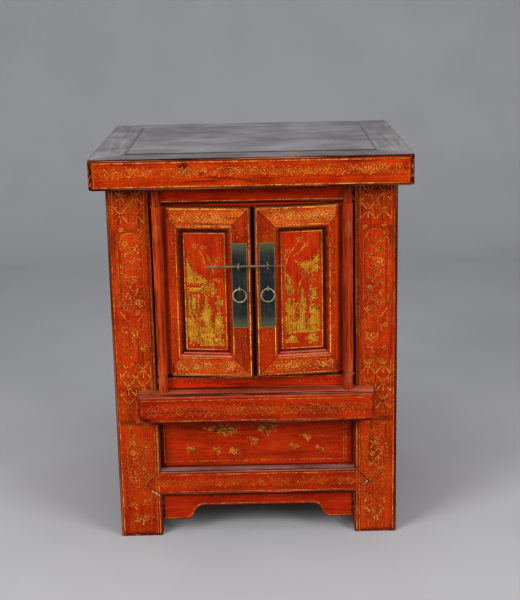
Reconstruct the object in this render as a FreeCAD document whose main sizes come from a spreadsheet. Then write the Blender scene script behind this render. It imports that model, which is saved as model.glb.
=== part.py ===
"""Cabinet on stand: a lacquered two-door cupboard with a mitred frame-and-panel top, wide front posts,
doors that turn on round wooden poles, a projecting ledge, a closed chest below and a shaped apron.

Millimetres, +Z up, +X to the right, the front faces -Y; the origin is in the middle of the footprint.
"""
import FreeCAD, Part
import math
import os
import re
import Sketcher

SIZES = {
    # whole cabinet
    "overall_height": 824,
    "opening_width": 412,
    "carcass_depth": 458,
    "front_overhang": 60,
    "back_overhang": 22,
    "side_overhang": 26,
    # top slab
    "top_thickness": 62,
    "top_frame_width": 70,
    "top_arris": 4,
    "top_corner_radius": 11,
    "top_panel_seam": 0.8,
    "top_groove_depth": 9,
    "top_tongue_thickness": 8,
    "top_panel_lip": 10,
    "top_tenon_width": 26,
    "top_tenon_height": 16,
    "top_tenon_cheek": 6,
    "top_tenon_cover": 14,
    "batten_width": 40,
    "batten_thickness": 30,
    "batten_tenon": 12,
    # posts
    "post_width": 88,
    "post_depth": 46,
    "post_arris": 3,
    "back_post_width": 60,
    "post_tenon_width": 18,
    "post_tenon_depth": 12,
    "post_tenon_height": 25,
    "post_tenon_edge": 6,
    "post_tenon_setback": 20,
    "back_post_tenon_setback": 3,
    # front rails
    "lintel_height": 38,
    "rail_stand": 3,
    "rail_thickness": 37,
    "stop_height": 10,
    "stop_gap": 0.3,
    "sill_height": 30,
    "sill_arris": 3,
    "ledge_top": 330,
    "ledge_height": 67,
    "ledge_projection": 29,
    "ledge_lap": 42,
    "ledge_back": 32,
    "ledge_arris": 9,
    "ledge_under_arris": 3,
    "ledge_end_flat": 2,
    "ledge_end_slant": 6,
    "ledge_chip_width": 36,
    "ledge_chip_height": 14,
    "ledge_corner_width": 14,
    "ledge_corner_height": 20,
    "lower_rail_bottom": 93,
    "lower_rail_height": 54,
    "lower_rail_thickness": 40,
    "lower_rail_arris": 5,
    "point_length": 32,
    "point_rise": 23,
    "point_depth": 10,
    "tenon_length": 34,
    "tenon_thickness": 12,
    "tenon_setback": 14,
    "tenon_shoulder": 8,
    # panels, back and sides
    "panel_thickness": 9,
    "groove_depth": 7,
    "edge_clearance": 0.3,
    "lower_panel_recess": 20,
    "side_inset": 3,
    "side_rail_thickness": 26,
    "middle_rail_height": 45,
    "side_tenon_length": 24,
    "floor_thickness": 12,
    "floor_bearing": 10,
    "chest_floor_thickness": 10,
    # apron
    "apron_foot": 32,
    "apron_arch": 64,
    "apron_foot_width": 48,
    "apron_recess": 10,
    "apron_thickness": 16,
    "apron_tenon": 6,
    "ogee_width": 42.5,
    # door leaves
    "door_ajar": 7,
    "pole_diameter": 22,
    "pole_gap": 4,
    "pole_stand": 13,
    "pivot_diameter": 19,
    "pivot_clearance": 0.05,
    "top_socket_depth": 24,
    "top_pivot_entry": 14,
    "ledge_socket_depth": 22,
    "socket_mouth_diameter": 21,
    "socket_mouth_depth": 5,
    "leaf_thickness": 22,
    "leaf_front": 7,
    "leaf_top_gap": 3,
    "leaf_bottom_gap": 8,
    "meeting_gap": 4,
    "leaf_flat": 42,
    "leaf_bevel": 8,
    "stile_flat_start": 22,
    "stile_flat": 18,
    "cove_radius": 9,
    "leaf_groove_setback": 9,
    "leaf_panel_thickness": 7,
    "leaf_tenon_start": 14,
    "leaf_tenon_height": 24,
    "leaf_tenon_cover": 8,
    "leaf_tenon_reach": 20,
    # lock plates, eyes, rings and pin
    "plate_width": 31.5,
    "plate_height": 175,
    "plate_thickness": 1.2,
    "plate_raise": 16.5,
    "hardware_setback": 23.5,
    "shank_radius": 1.3,
    "shank_clearance": 0.1,
    "clinch_length": 12,
    "clinch_width": 3.4,
    "clinch_thickness": 1.6,
    "ring_radius": 13.5,
    "ring_wire": 1.5,
    "ring_drop": 5.5,
    "ring_stand": 6,
    "ring_eye_wire": 1.5,
    "ring_eye_play": 0.6,
    "pin_raise": 42.5,
    "pin_stand": 12,
    "pin_radius": 2.5,
    "pin_tip_radius": 1.2,
    "pin_taper": 3,
    "pin_tail": 67,
    "pin_tail_radius": 1.6,
    "pin_reach": 62,
    "pin_tip": 29,
    "pin_eye_wire": 1.6,
    "pin_eye_play": 0.8,
    "prong_reach": 4,
    "prong_play": 0.5,
}

# levels and lines that follow from the sizes
PLACES = {
    "underside": "overall_height - top_thickness",
    "half_depth": "(front_overhang + carcass_depth + back_overhang) / 2",
    "face": "front_overhang - half_depth",
    "rear": "half_depth - back_overhang",
    "half_opening": "opening_width / 2",
    "half_body": "half_opening + post_width",
    "half_width": "half_body + side_overhang",
    "half_back_opening": "half_body - back_post_width",
    "lintel_bottom": "underside - lintel_height",
    "sill_top": "ledge_top + sill_height",
    "ledge_bottom": "ledge_top - ledge_height",
    "lower_rail_top": "lower_rail_bottom + lower_rail_height",
    "middle_rail_top": "sill_top - floor_thickness",
    "middle_rail_bottom": "middle_rail_top - middle_rail_height",
    "panel_inset": "side_inset + (side_rail_thickness - panel_thickness) / 2",
    "panel_inner": "panel_inset + panel_thickness",
    "panel_reach": "groove_depth - edge_clearance",
    "tongue_bottom": "top_thickness - top_panel_lip - top_tongue_thickness",
    "tongue_top": "top_thickness - top_panel_lip",
    "pole_radius": "pole_diameter / 2",
    "pole_x": "half_opening - pole_gap - pole_radius",
    "pole_y": "face - pole_stand",
    "pivot_radius": "pivot_diameter / 2",
    "leaf_bottom": "sill_top + leaf_bottom_gap",
    "leaf_height": "lintel_bottom - leaf_top_gap - leaf_bottom",
    "leaf_width": "pole_x - meeting_gap / 2",
    "leaf_back": "leaf_thickness - leaf_front",
    "leaf_border": "leaf_flat + leaf_bevel",
    "stile_heel": "leaf_back - pole_radius / sin(45 deg)",
    "stile_edge": "stile_flat_start + stile_flat + leaf_bevel",
    "panel_front": "leaf_groove_setback - leaf_front",
    "panel_back": "panel_front + leaf_panel_thickness",
    "hardware_x": "leaf_width - hardware_setback",
    "plate_middle": "leaf_height / 2 + plate_raise",
    "ring_height": "plate_middle - ring_drop",
    "pin_height": "plate_middle + pin_raise",
    "plate_front": "leaf_front + plate_thickness",
    "ring_y": "plate_front + ring_stand",
    "pin_y": "leaf_front + pin_stand",
    "ring_eye_radius": "ring_wire + ring_eye_play + ring_eye_wire",
    "pin_eye_radius": "pin_radius + pin_eye_play + pin_eye_wire",
    "prong_offset": "pin_radius + prong_play + shank_radius",
    "shank_hole": "shank_radius + shank_clearance",
    "ogee_height": "apron_arch - apron_foot",
    "ogee_radius": "(ogee_width * ogee_width + ogee_height * ogee_height) / (4 * ogee_height)",
}

MARGIN = "1"
LEFT = -1
RIGHT = 1
PLANES = {"plan": ("XY_Plane", 1), "front": ("XZ_Plane", -1), "side": ("YZ_Plane", 1)}

doc = FreeCAD.newDocument("cabinet_on_stand")


def formula(text):
    """The expression with each size and place named by its sheet."""
    def in_sheet(match):
        word = match.group(0)
        if word in SIZES:
            return f"Sizes.{word}"
        return f"Places.{word}" if word in PLACES else word
    return re.sub(r"[a-z_]+", in_sheet, text)


def write_sheet(name, rows):
    """A spreadsheet with one aliased cell for each row."""
    sheet = doc.addObject("Spreadsheet::Sheet", name)
    for row, (alias, content) in enumerate(rows.items(), start=1):
        sheet.set(f"A{row}", alias)
        sheet.set(f"B{row}", content)
        sheet.setAlias(f"B{row}", alias)
    doc.recompute()
    return sheet


sizes = write_sheet("Sizes", {alias: str(value) for alias, value in SIZES.items()})
places = write_sheet("Places", {alias: "=" + formula(text) for alias, text in PLACES.items()})


def value(text):
    """The number that an expression gives now."""
    return float(places.evalExpression(formula(text)))


class Arc:
    """A round stretch of an outline that ends at (u, v); turn is 1 counterclockwise, -1 clockwise."""

    def __init__(self, u, v, centre_u, centre_v, radius, turn):
        self.u, self.v = u, v
        self.centre_u, self.centre_v = centre_u, centre_v
        self.radius, self.turn = radius, turn

    def edge(self, start, end):
        """The arc between two points, always drawn counterclockwise as sketches need it."""
        centre = FreeCAD.Vector(value(self.centre_u), value(self.centre_v), 0)
        first, last = (start, end) if self.turn > 0 else (end, start)
        angles = [math.atan2(point.y - centre.y, point.x - centre.x) for point in (first, last)]
        circle = Part.Circle(centre, FreeCAD.Vector(0, 0, 1), value(self.radius))
        return Part.ArcOfCircle(circle, angles[0], angles[1])


def rectangle(u_start, v_start, u_end, v_end):
    """The four corners of a rectangle."""
    return [(u_start, v_start), (u_end, v_start), (u_end, v_end), (u_start, v_end)]


def new_sketch(piece, plane, level):
    """An empty sketch parallel to one of the body's own planes, at a level along its axis."""
    role, direction = PLANES[plane]
    drawing = piece.newObject("Sketcher::SketchObject", f"{piece.Label}_sketch")
    support = next(datum for datum in piece.Origin.OriginFeatures if datum.Role == role)
    drawing.AttachmentSupport = [(support, "")]
    drawing.MapMode = "FlatFace"
    drawing.setExpression("AttachmentOffset.Base.z", formula(f"{direction} * ({level})"))
    return drawing


def bind(drawing, kind, name, geometry, point, expression):
    """One dimension of a sketch, held by an expression."""
    datum = value(expression)
    index = drawing.addConstraint(Sketcher.Constraint(kind, geometry, point, datum) if point
                                  else Sketcher.Constraint(kind, geometry, datum))
    drawing.renameConstraint(index, name)
    drawing.setExpression(f"Constraints.{name}", formula(expression))


def draw_outline(drawing, corners):
    """A closed outline through the corners, every corner and radius held by an expression."""
    ends = [(corner.u, corner.v) if isinstance(corner, Arc) else corner for corner in corners]
    points = [FreeCAD.Vector(value(u), value(v), 0) for u, v in ends]
    tips = []
    for index, corner in enumerate(corners):
        start, end = points[index - 1], points[index]
        if isinstance(corner, Arc):
            drawing.addGeometry(corner.edge(start, end))
            tips.append((1, 2) if corner.turn > 0 else (2, 1))
        else:
            drawing.addGeometry(Part.LineSegment(start, end))
            tips.append((1, 2))
    for index, (first_tip, _) in enumerate(tips):
        before = (index - 1) % len(tips)
        drawing.addConstraint(Sketcher.Constraint("Coincident", before, tips[before][1], index, first_tip))
    for index, (corner, (u, v)) in enumerate(zip(corners, ends)):
        bind(drawing, "DistanceX", f"across_{index}", index, tips[index][1], u)
        bind(drawing, "DistanceY", f"along_{index}", index, tips[index][1], v)
        if isinstance(corner, Arc):
            bind(drawing, "Radius", f"round_{index}", index, None, corner.radius)


def draw_circle(drawing, u, v, radius):
    """A circle whose centre and radius are held by expressions."""
    centre = FreeCAD.Vector(value(u), value(v), 0)
    drawing.addGeometry(Part.Circle(centre, FreeCAD.Vector(0, 0, 1), value(radius)))
    bind(drawing, "DistanceX", "centre_across", 0, 3, u)
    bind(drawing, "DistanceY", "centre_along", 0, 3, v)
    bind(drawing, "Radius", "circle_radius", 0, None, radius)


def draw(drawing, shape):
    """A list of corners is drawn as an outline, a (u, v, radius) triple as a circle."""
    if isinstance(shape, tuple):
        draw_circle(drawing, *shape)
    else:
        draw_outline(drawing, shape)


def pad(piece, plane, start, end, shape):
    """Wood or metal between two levels along the plane's axis."""
    drawing = new_sketch(piece, plane, start if PLANES[plane][1] > 0 else end)
    draw(drawing, shape)
    feature = piece.newObject("PartDesign::Pad", f"{piece.Label}_pad")
    feature.Profile = drawing
    feature.setExpression("Length", formula(f"({end}) - ({start})"))


def cut(piece, plane, start, end, shape):
    """A pocket between two levels along the plane's axis."""
    drawing = new_sketch(piece, plane, end if PLANES[plane][1] > 0 else start)
    draw(drawing, shape)
    feature = piece.newObject("PartDesign::Pocket", f"{piece.Label}_pocket")
    feature.Profile = drawing
    feature.setExpression("Length", formula(f"({end}) - ({start})"))


def turned(piece, axis, shape):
    """A solid of revolution of a plan sketch about the body's X (H_Axis) or Y (V_Axis) axis."""
    drawing = new_sketch(piece, "plan", "0")
    draw(drawing, shape)
    feature = piece.newObject("PartDesign::Revolution", f"{piece.Label}_turned")
    feature.Profile = drawing
    feature.ReferenceAxis = (drawing, [axis])
    feature.Angle = 360


def fillet(piece, radius, choose):
    """Round the edges of the body that the test picks."""
    doc.recompute()
    last = piece.Tip
    edges = [f"Edge{number}" for number, edge in enumerate(last.Shape.Edges, start=1) if choose(edge)]
    feature = piece.newObject("PartDesign::Fillet", f"{piece.Label}_fillet")
    feature.Base = (last, edges)
    feature.setExpression("Radius", formula(radius))


def new_body(label, x="0", y="0", z="0", turn="0"):
    """An empty body whose own origin stands at (x, y, z), turned about the vertical by so many degrees."""
    piece = doc.addObject("PartDesign::Body", label)
    piece.Label = label
    for axis, place in zip("xyz", (x, y, z)):
        piece.setExpression(f"Placement.Base.{axis}", formula(place))
    piece.setExpression("Placement.Rotation.Angle", formula(f"({turn}) * 1 deg"))
    return piece


def block(label, x, y, z, corner, opposite):
    """A plain board between two opposite corners."""
    piece = new_body(label, x, y, z)
    pad(piece, "plan", corner[2], opposite[2], rectangle(corner[0], corner[1], opposite[0], opposite[1]))
    return piece


def across(side, near, far):
    """Two distances from the middle as ordered levels on one side of it."""
    return (near, far) if side > 0 else (f"-({far})", f"-({near})")


# ---------------------------------------------------------------- top slab

def mitre_end(piece, place, handed):
    """Cut one end of a frame member to its mitre, with the slab's rounded corner; place maps
    (distance along the member, distance outwards) to the plan."""
    def half_size(direction):
        return "half_width" if direction == "x" else "half_depth"
    along, out = half_size(place.along), half_size(place.out)
    trim = "top_corner_radius * (1 - cos(45 deg))"
    corner = [
        place(f"{along} - top_frame_width - {MARGIN}", f"{out} - top_frame_width - {MARGIN}"),
        place(f"{along} - {trim}", f"{out} - {trim}"),
        Arc(*place(f"{along} - top_corner_radius", out),
            *place(f"{along} - top_corner_radius", f"{out} - top_corner_radius"),
            "top_corner_radius", handed),
        place(f"{along} - top_corner_radius", f"{out} + {MARGIN}"),
        place(f"{along} + {MARGIN}", f"{out} + {MARGIN}"),
        place(f"{along} + {MARGIN}", f"{out} - top_frame_width - {MARGIN}"),
    ]
    cut(piece, "plan", f"-{MARGIN}", f"top_thickness + {MARGIN}", corner)


class Corner:
    """Maps distances along and out from the slab's middle to one corner's plan coordinates."""

    def __init__(self, along, along_sign, out_sign):
        self.along = along
        self.out = "y" if along == "x" else "x"
        self.signs = (along_sign, out_sign)
        self.handed = along_sign * out_sign * (1 if along == "x" else -1)

    def __call__(self, distance_along, distance_out):
        along, out = f"{self.signs[0]} * ({distance_along})", f"{self.signs[1]} * ({distance_out})"
        return (along, out) if self.along == "x" else (out, along)


def round_outer_arrises(piece, axis, outer):
    """Round the slab member's upper and lower outer edges, corner arcs included."""
    limit = value(f"{outer} - top_corner_radius") - 0.1
    heights = (0, value("top_thickness"))

    def at_rim(edge):
        box = edge.BoundBox
        flat = box.ZLength < 0.01 and min(abs(box.ZMin - height) for height in heights) < 0.01
        nearest, farthest = sorted(abs(place) for place in axis(box))
        return flat and nearest > limit and farthest > limit
    fillet(piece, "top_arris", at_rim)


def corner_tenon(x_side, y_side, end_play):
    """Plan of the tenon that joins an end board to a long rail at one corner."""
    inner = "half_width - top_frame_width + top_tenon_cheek"
    return rectangle(
        f"{x_side} * ({inner})", f"{y_side} * (half_depth - top_frame_width - {MARGIN})",
        f"{x_side} * ({inner} + top_tenon_width)", f"{y_side} * (half_depth - top_tenon_cover + {end_play})")


def tenon_levels():
    """Bottom and top of the slab's corner tenons."""
    return "(tongue_bottom - top_tenon_height) / 2", "(tongue_bottom + top_tenon_height) / 2"


def long_rail(label, y_side):
    """Front or back member of the slab, mortised for the end boards, the batten and the panel."""
    piece = new_body(label, z="underside")
    inner = "half_depth - top_frame_width"
    pad(piece, "side", "-half_width", "half_width",
        rectangle(f"{y_side} * ({inner})", "0", f"{y_side} * half_depth", "top_thickness"))
    for x_side in (LEFT, RIGHT):
        place = Corner("x", x_side, y_side)
        mitre_end(piece, place, place.handed)
    round_outer_arrises(piece, lambda box: (box.YMin, box.YMax), "half_depth")
    for x_side in (LEFT, RIGHT):
        cut(piece, "plan", *tenon_levels(), corner_tenon(x_side, y_side, "edge_clearance"))
    cut(piece, "side", f"-half_width - {MARGIN}", f"half_width + {MARGIN}",
        rectangle(f"{y_side} * ({inner} - {MARGIN})", "tongue_bottom",
                  f"{y_side} * ({inner} + top_groove_depth)", "tongue_top"))
    cut(piece, "side", "-batten_width / 2", "batten_width / 2",
        rectangle(f"{y_side} * ({inner} - {MARGIN})", "tongue_bottom - batten_thickness",
                  f"{y_side} * ({inner} + batten_tenon + edge_clearance)", "tongue_bottom"))
    return piece


def post_tenon(width, setback, x_side, y_start):
    """Plan of a post's top tenon, beside the post's outer edge."""
    outer = "half_body - post_tenon_edge"
    return rectangle(f"{x_side} * ({outer} - {width})", f"{y_start} + {setback}",
                     f"{x_side} * ({outer})", f"{y_start} + {setback} + post_tenon_depth")


def end_board(label, x_side):
    """Left or right member of the slab, tenoned into the long rails and mortised for two posts."""
    piece = new_body(label, z="underside")
    inner = "half_width - top_frame_width"
    pad(piece, "front", "-half_depth", "half_depth",
        rectangle(f"{x_side} * ({inner})", "0", f"{x_side} * half_width", "top_thickness"))
    for y_side in (LEFT, RIGHT):
        place = Corner("y", y_side, x_side)
        mitre_end(piece, place, place.handed)
    round_outer_arrises(piece, lambda box: (box.XMin, box.XMax), "half_width")
    for y_side in (LEFT, RIGHT):
        pad(piece, "plan", *tenon_levels(), corner_tenon(x_side, y_side, "0"))
    cut(piece, "front", f"-half_depth - {MARGIN}", f"half_depth + {MARGIN}",
        rectangle(f"{x_side} * ({inner} - {MARGIN})", "tongue_bottom",
                  f"{x_side} * ({inner} + top_groove_depth)", "tongue_top"))
    deep = "post_tenon_height + edge_clearance"
    cut(piece, "plan", f"-{MARGIN}", deep,
        post_tenon("post_tenon_width", "post_tenon_setback", x_side, "face"))
    cut(piece, "plan", f"-{MARGIN}", deep,
        post_tenon("post_tenon_width", "back_post_tenon_setback", x_side, "rear - post_depth"))
    return piece


def build_top():
    """The slab: four mitred members, a flush panel with its tongue, and a batten under it."""
    front = long_rail("top_front_rail", LEFT)
    for side in (LEFT, RIGHT):
        cut(front, "plan", f"-{MARGIN}", "top_socket_depth",
            (f"{side} * pole_x", "pole_y", "pivot_radius + pivot_clearance"))
    long_rail("top_back_rail", RIGHT)
    end_board("top_left_end", LEFT)
    end_board("top_right_end", RIGHT)
    panel = new_body("top_panel", z="underside")
    tongue = ("half_width - top_frame_width + top_groove_depth - edge_clearance",
              "half_depth - top_frame_width + top_groove_depth - edge_clearance")
    flush = ("half_width - top_frame_width - top_panel_seam",
             "half_depth - top_frame_width - top_panel_seam")
    for (x, y), start, end in ((tongue, "tongue_bottom", "tongue_top"), (flush, "tongue_top", "top_thickness")):
        pad(panel, "plan", start, end, rectangle(f"-({x})", f"-({y})", x, y))
    reach = "half_depth - top_frame_width + batten_tenon"
    block("top_batten", "0", "0", "underside",
          ("-batten_width / 2", f"-({reach})", "tongue_bottom - batten_thickness"),
          ("batten_width / 2", reach, "tongue_bottom"))


# ---------------------------------------------------------------- posts

def front_post(label, side):
    """Wide front post; its own origin is the foot of its inner front edge."""
    piece = new_body(label, f"{side} * half_opening", "face")
    arris, width = "post_arris", "post_width"
    plan = [
        (f"{side} * ({width} - {arris})", "0"),
        Arc(f"{side} * {width}", arris, f"{side} * ({width} - {arris})", arris, arris, side),
        (f"{side} * {width}", "post_depth"),
        ("0", "post_depth"),
        ("0", arris),
        Arc(f"{side} * {arris}", "0", f"{side} * {arris}", arris, arris, side),
    ]
    pad(piece, "plan", "0", "underside", plan)
    outer = "post_width - post_tenon_edge"
    pad(piece, "plan", "underside", "underside + post_tenon_height",
        rectangle(f"{side} * ({outer} - post_tenon_width)", "post_tenon_setback",
                  f"{side} * ({outer})", "post_tenon_setback + post_tenon_depth"))
    cut(piece, "front", f"-{MARGIN}", "point_depth", [
        (f"-{side} * {MARGIN}", "lower_rail_bottom"),
        ("0", "lower_rail_bottom"),
        (f"{side} * point_length", "lower_rail_bottom + point_rise"),
        ("0", "lower_rail_top"),
        (f"-{side} * {MARGIN}", "lower_rail_top"),
    ])
    for bottom, top in (("lower_rail_bottom", "lower_rail_top"), ("ledge_bottom", "ledge_top"),
                        ("ledge_top", "sill_top"), ("lintel_bottom", "underside")):
        cut(piece, "side", *across(side, f"-{MARGIN}", "tenon_length + edge_clearance"),
            rectangle("tenon_setback", f"{bottom} + tenon_shoulder",
                      "tenon_setback + tenon_thickness", f"{top} - tenon_shoulder"))
    cut(piece, "side", *across(side, f"-{MARGIN}", "groove_depth"),
        rectangle("lower_panel_recess", "lower_rail_top - groove_depth",
                  "lower_panel_recess + panel_thickness", "ledge_bottom + groove_depth"))
    cut(piece, "side", *across(side, f"-{MARGIN}", "apron_tenon"),
        rectangle("apron_recess", "apron_foot", "apron_recess + apron_thickness", "lower_rail_bottom"))
    side_frame_mortises(piece, side, "post_width", "post_depth", LEFT)
    return piece


def rail_levels():
    """Bottom and top of the lower, middle and upper rails at the sides and back."""
    return (("lower_rail_bottom", "lower_rail_top"), ("middle_rail_bottom", "middle_rail_top"),
            ("lintel_bottom", "underside"))


def panel_levels():
    """Bottom and top of the lower and upper panels' openings at the sides and back."""
    return (("lower_rail_top", "middle_rail_bottom"), ("middle_rail_top", "lintel_bottom"))


def side_frame_mortises(piece, side, width, depth, facing):
    """Mortises and grooves for the side rails and panels, in a post's rear (LEFT) or front (RIGHT) face."""
    start = f"{side} * ({width} - panel_inner)"
    end = f"{side} * ({width} - panel_inset)"

    def into(deep):
        return (f"{depth} - ({deep})", f"{depth} + {MARGIN}") if facing == LEFT else (f"-{MARGIN}", deep)
    for bottom, top in rail_levels():
        cut(piece, "front", *into("side_tenon_length + edge_clearance"),
            rectangle(start, f"{bottom} + tenon_shoulder", end, f"{top} - tenon_shoulder"))
    for bottom, top in panel_levels():
        cut(piece, "front", *into("groove_depth"),
            rectangle(start, f"{bottom} - groove_depth", end, f"{top} + groove_depth"))


def back_post(label, side):
    """Narrower back post; its own origin is the foot of its inner front edge."""
    piece = new_body(label, f"{side} * half_back_opening", "rear - post_depth")
    pad(piece, "plan", "0", "underside", rectangle("0", "0", f"{side} * back_post_width", "post_depth"))
    outer = "back_post_width - post_tenon_edge"
    pad(piece, "plan", "underside", "underside + post_tenon_height",
        rectangle(f"{side} * ({outer} - post_tenon_width)", "back_post_tenon_setback",
                  f"{side} * ({outer})", "back_post_tenon_setback + post_tenon_depth"))
    side_frame_mortises(piece, side, "back_post_width", "post_depth", RIGHT)
    layer = ("post_depth - panel_inner", "post_depth - panel_inset")
    for bottom, top in rail_levels():
        cut(piece, "side", *across(side, f"-{MARGIN}", "side_tenon_length + edge_clearance"),
            rectangle(layer[0], f"{bottom} + tenon_shoulder", layer[1], f"{top} - tenon_shoulder"))
    for bottom, top in panel_levels():
        cut(piece, "side", *across(side, f"-{MARGIN}", "groove_depth"),
            rectangle(layer[0], f"{bottom} - groove_depth", layer[1], f"{top} + groove_depth"))
    return piece


# ---------------------------------------------------------------- front rails, panel and apron

def through_tenon(piece, height):
    """Tenons at both ends of a front rail, standing at the posts' face."""
    pad(piece, "side", "-half_opening - tenon_length", "half_opening + tenon_length",
        rectangle("tenon_setback", "tenon_shoulder", "tenon_setback + tenon_thickness",
                  f"{height} - tenon_shoulder"))


def front_rail(label, z, height):
    """A rail that stands a little proud of the posts' faces, just behind the poles' pivots."""
    piece = new_body(label, "0", "face", z)
    pad(piece, "front", "-rail_stand", "rail_thickness - rail_stand",
        rectangle("-half_opening", "0", "half_opening", height))
    through_tenon(piece, height)
    return piece


def round_top_arris(piece, front, height, radius):
    """Round a front rail's upper front edge between the posts."""
    cut(piece, "side", "-half_opening", "half_opening", [
        (f"{front} - {MARGIN}", f"{height} - {radius}"),
        (front, f"{height} - {radius}"),
        Arc(f"{front} + {radius}", height, f"{front} + {radius}", f"{height} - {radius}", radius, -1),
        (f"{front} + {radius}", f"{height} + {MARGIN}"),
        (f"{front} - {MARGIN}", f"{height} + {MARGIN}"),
    ])


def shape_ledge_ends(piece, lap):
    """Both ends draw in towards the front; the lower corner is broken off at the left and eased at the right."""
    for side, width, height in ((LEFT, "ledge_chip_width", "ledge_chip_height"),
                                (RIGHT, "ledge_corner_width", "ledge_corner_height")):
        beyond = f"{side} * ({lap} + {MARGIN})"
        narrow = f"{side} * ({lap} - ledge_end_slant)"
        cut(piece, "plan", f"-{MARGIN}", f"ledge_height + {MARGIN}", [
            (f"{side} * ({lap})", "-ledge_end_flat"),
            (narrow, "-ledge_projection"),
            (narrow, f"-ledge_projection - {MARGIN}"),
            (beyond, f"-ledge_projection - {MARGIN}"),
            (beyond, "-ledge_end_flat"),
        ])
        cut(piece, "front", f"-ledge_projection - {MARGIN}", MARGIN, [
            (f"{side} * ({lap} - {width})", "0"),
            (f"{side} * ({lap})", height),
            (beyond, height),
            (beyond, f"-{MARGIN}"),
            (f"{side} * ({lap} - {width})", f"-{MARGIN}"),
        ])


def build_front():
    """Lintel with the doors' stop, sill, ledge with the poles' sockets, lower rail, panel and apron."""
    lintel = front_rail("lintel_rail", "lintel_bottom", "lintel_height")
    pad(lintel, "side", "-half_opening", "half_opening",
        rectangle("leaf_back - pole_stand + stop_gap", "-stop_height",
                  "rail_thickness - rail_stand", "tenon_shoulder"))
    sill = front_rail("sill_rail", "ledge_top", "sill_height")
    cut(sill, "side", "-half_opening", "half_opening",
        rectangle("rail_thickness - rail_stand - floor_bearing", "sill_height - floor_thickness",
                  f"rail_thickness - rail_stand + {MARGIN}", f"sill_height + {MARGIN}"))
    round_top_arris(sill, "-rail_stand", "sill_height", "sill_arris")

    ledge = new_body("ledge_rail", "0", "face", "ledge_bottom")
    lap = "half_opening + ledge_lap"
    pad(ledge, "side", f"-({lap})", lap, [
        ("0", "0"),
        ("0", "ledge_height"),
        ("ledge_arris - ledge_projection", "ledge_height"),
        Arc("-ledge_projection", "ledge_height - ledge_arris", "ledge_arris - ledge_projection",
            "ledge_height - ledge_arris", "ledge_arris", 1),
        ("-ledge_projection", "ledge_under_arris"),
        Arc("ledge_under_arris - ledge_projection", "0", "ledge_under_arris - ledge_projection",
            "ledge_under_arris", "ledge_under_arris", 1),
    ])
    shape_ledge_ends(ledge, lap)
    pad(ledge, "plan", "0", "ledge_height", rectangle("-half_opening", f"-{MARGIN}", "half_opening", "ledge_back"))
    through_tenon(ledge, "ledge_height")
    cut(ledge, "side", "-half_opening", "half_opening",
        rectangle("lower_panel_recess", f"-{MARGIN}", "lower_panel_recess + panel_thickness", "groove_depth"))
    for side in (LEFT, RIGHT):
        for depth, radius in (("socket_mouth_depth", "socket_mouth_diameter / 2"),
                              ("ledge_socket_depth", "pivot_radius + pivot_clearance")):
            cut(ledge, "plan", f"ledge_height - {depth}", f"ledge_height + {MARGIN}",
                (f"{side} * pole_x", "-pole_stand", radius))

    rail = new_body("lower_rail", "0", "face", "lower_rail_bottom")
    pad(rail, "front", "0", "lower_rail_thickness",
        rectangle("-half_opening", "0", "half_opening", "lower_rail_height"))
    pad(rail, "front", "0", "point_depth", [
        ("half_opening", "0"),
        ("half_opening + point_length", "point_rise"),
        ("half_opening", "lower_rail_height"),
        ("-half_opening", "lower_rail_height"),
        ("-half_opening - point_length", "point_rise"),
        ("-half_opening", "0"),
    ])
    through_tenon(rail, "lower_rail_height")
    cut(rail, "side", "-half_opening", "half_opening",
        rectangle("lower_panel_recess", "lower_rail_height - groove_depth",
                  "lower_panel_recess + panel_thickness", f"lower_rail_height + {MARGIN}"))
    round_top_arris(rail, "0", "lower_rail_height", "lower_rail_arris")

    block("lower_panel", "0", "face + lower_panel_recess", "0",
          ("-half_opening - panel_reach", "0", "lower_rail_top - panel_reach"),
          ("half_opening + panel_reach", "panel_thickness", "ledge_bottom + panel_reach"))
    build_apron()


def build_apron():
    """Board under the lower rail with a flat arch that runs down to each foot in an ogee."""
    piece = new_body("apron", "0", "face + apron_recess")
    edge = "half_opening + apron_tenon - edge_clearance"
    toe = "half_opening - apron_foot_width"
    crown, bend = f"{toe} - ogee_width", f"{toe} - ogee_width / 2"
    middle = "apron_foot + ogee_height / 2"
    low, high = "apron_foot + ogee_radius", "apron_arch - ogee_radius"
    pad(piece, "front", "0", "apron_thickness", [
        (f"-({edge})", "apron_foot"),
        (f"-({toe})", "apron_foot"),
        Arc(f"-({bend})", middle, f"-({toe})", low, "ogee_radius", 1),
        Arc(f"-({crown})", "apron_arch", f"-({crown})", high, "ogee_radius", -1),
        (crown, "apron_arch"),
        Arc(bend, middle, crown, high, "ogee_radius", -1),
        Arc(toe, "apron_foot", toe, low, "ogee_radius", 1),
        (edge, "apron_foot"),
        (edge, "lower_rail_bottom"),
        (f"-({edge})", "lower_rail_bottom"),
    ])


# ---------------------------------------------------------------- sides, back and floors

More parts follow.
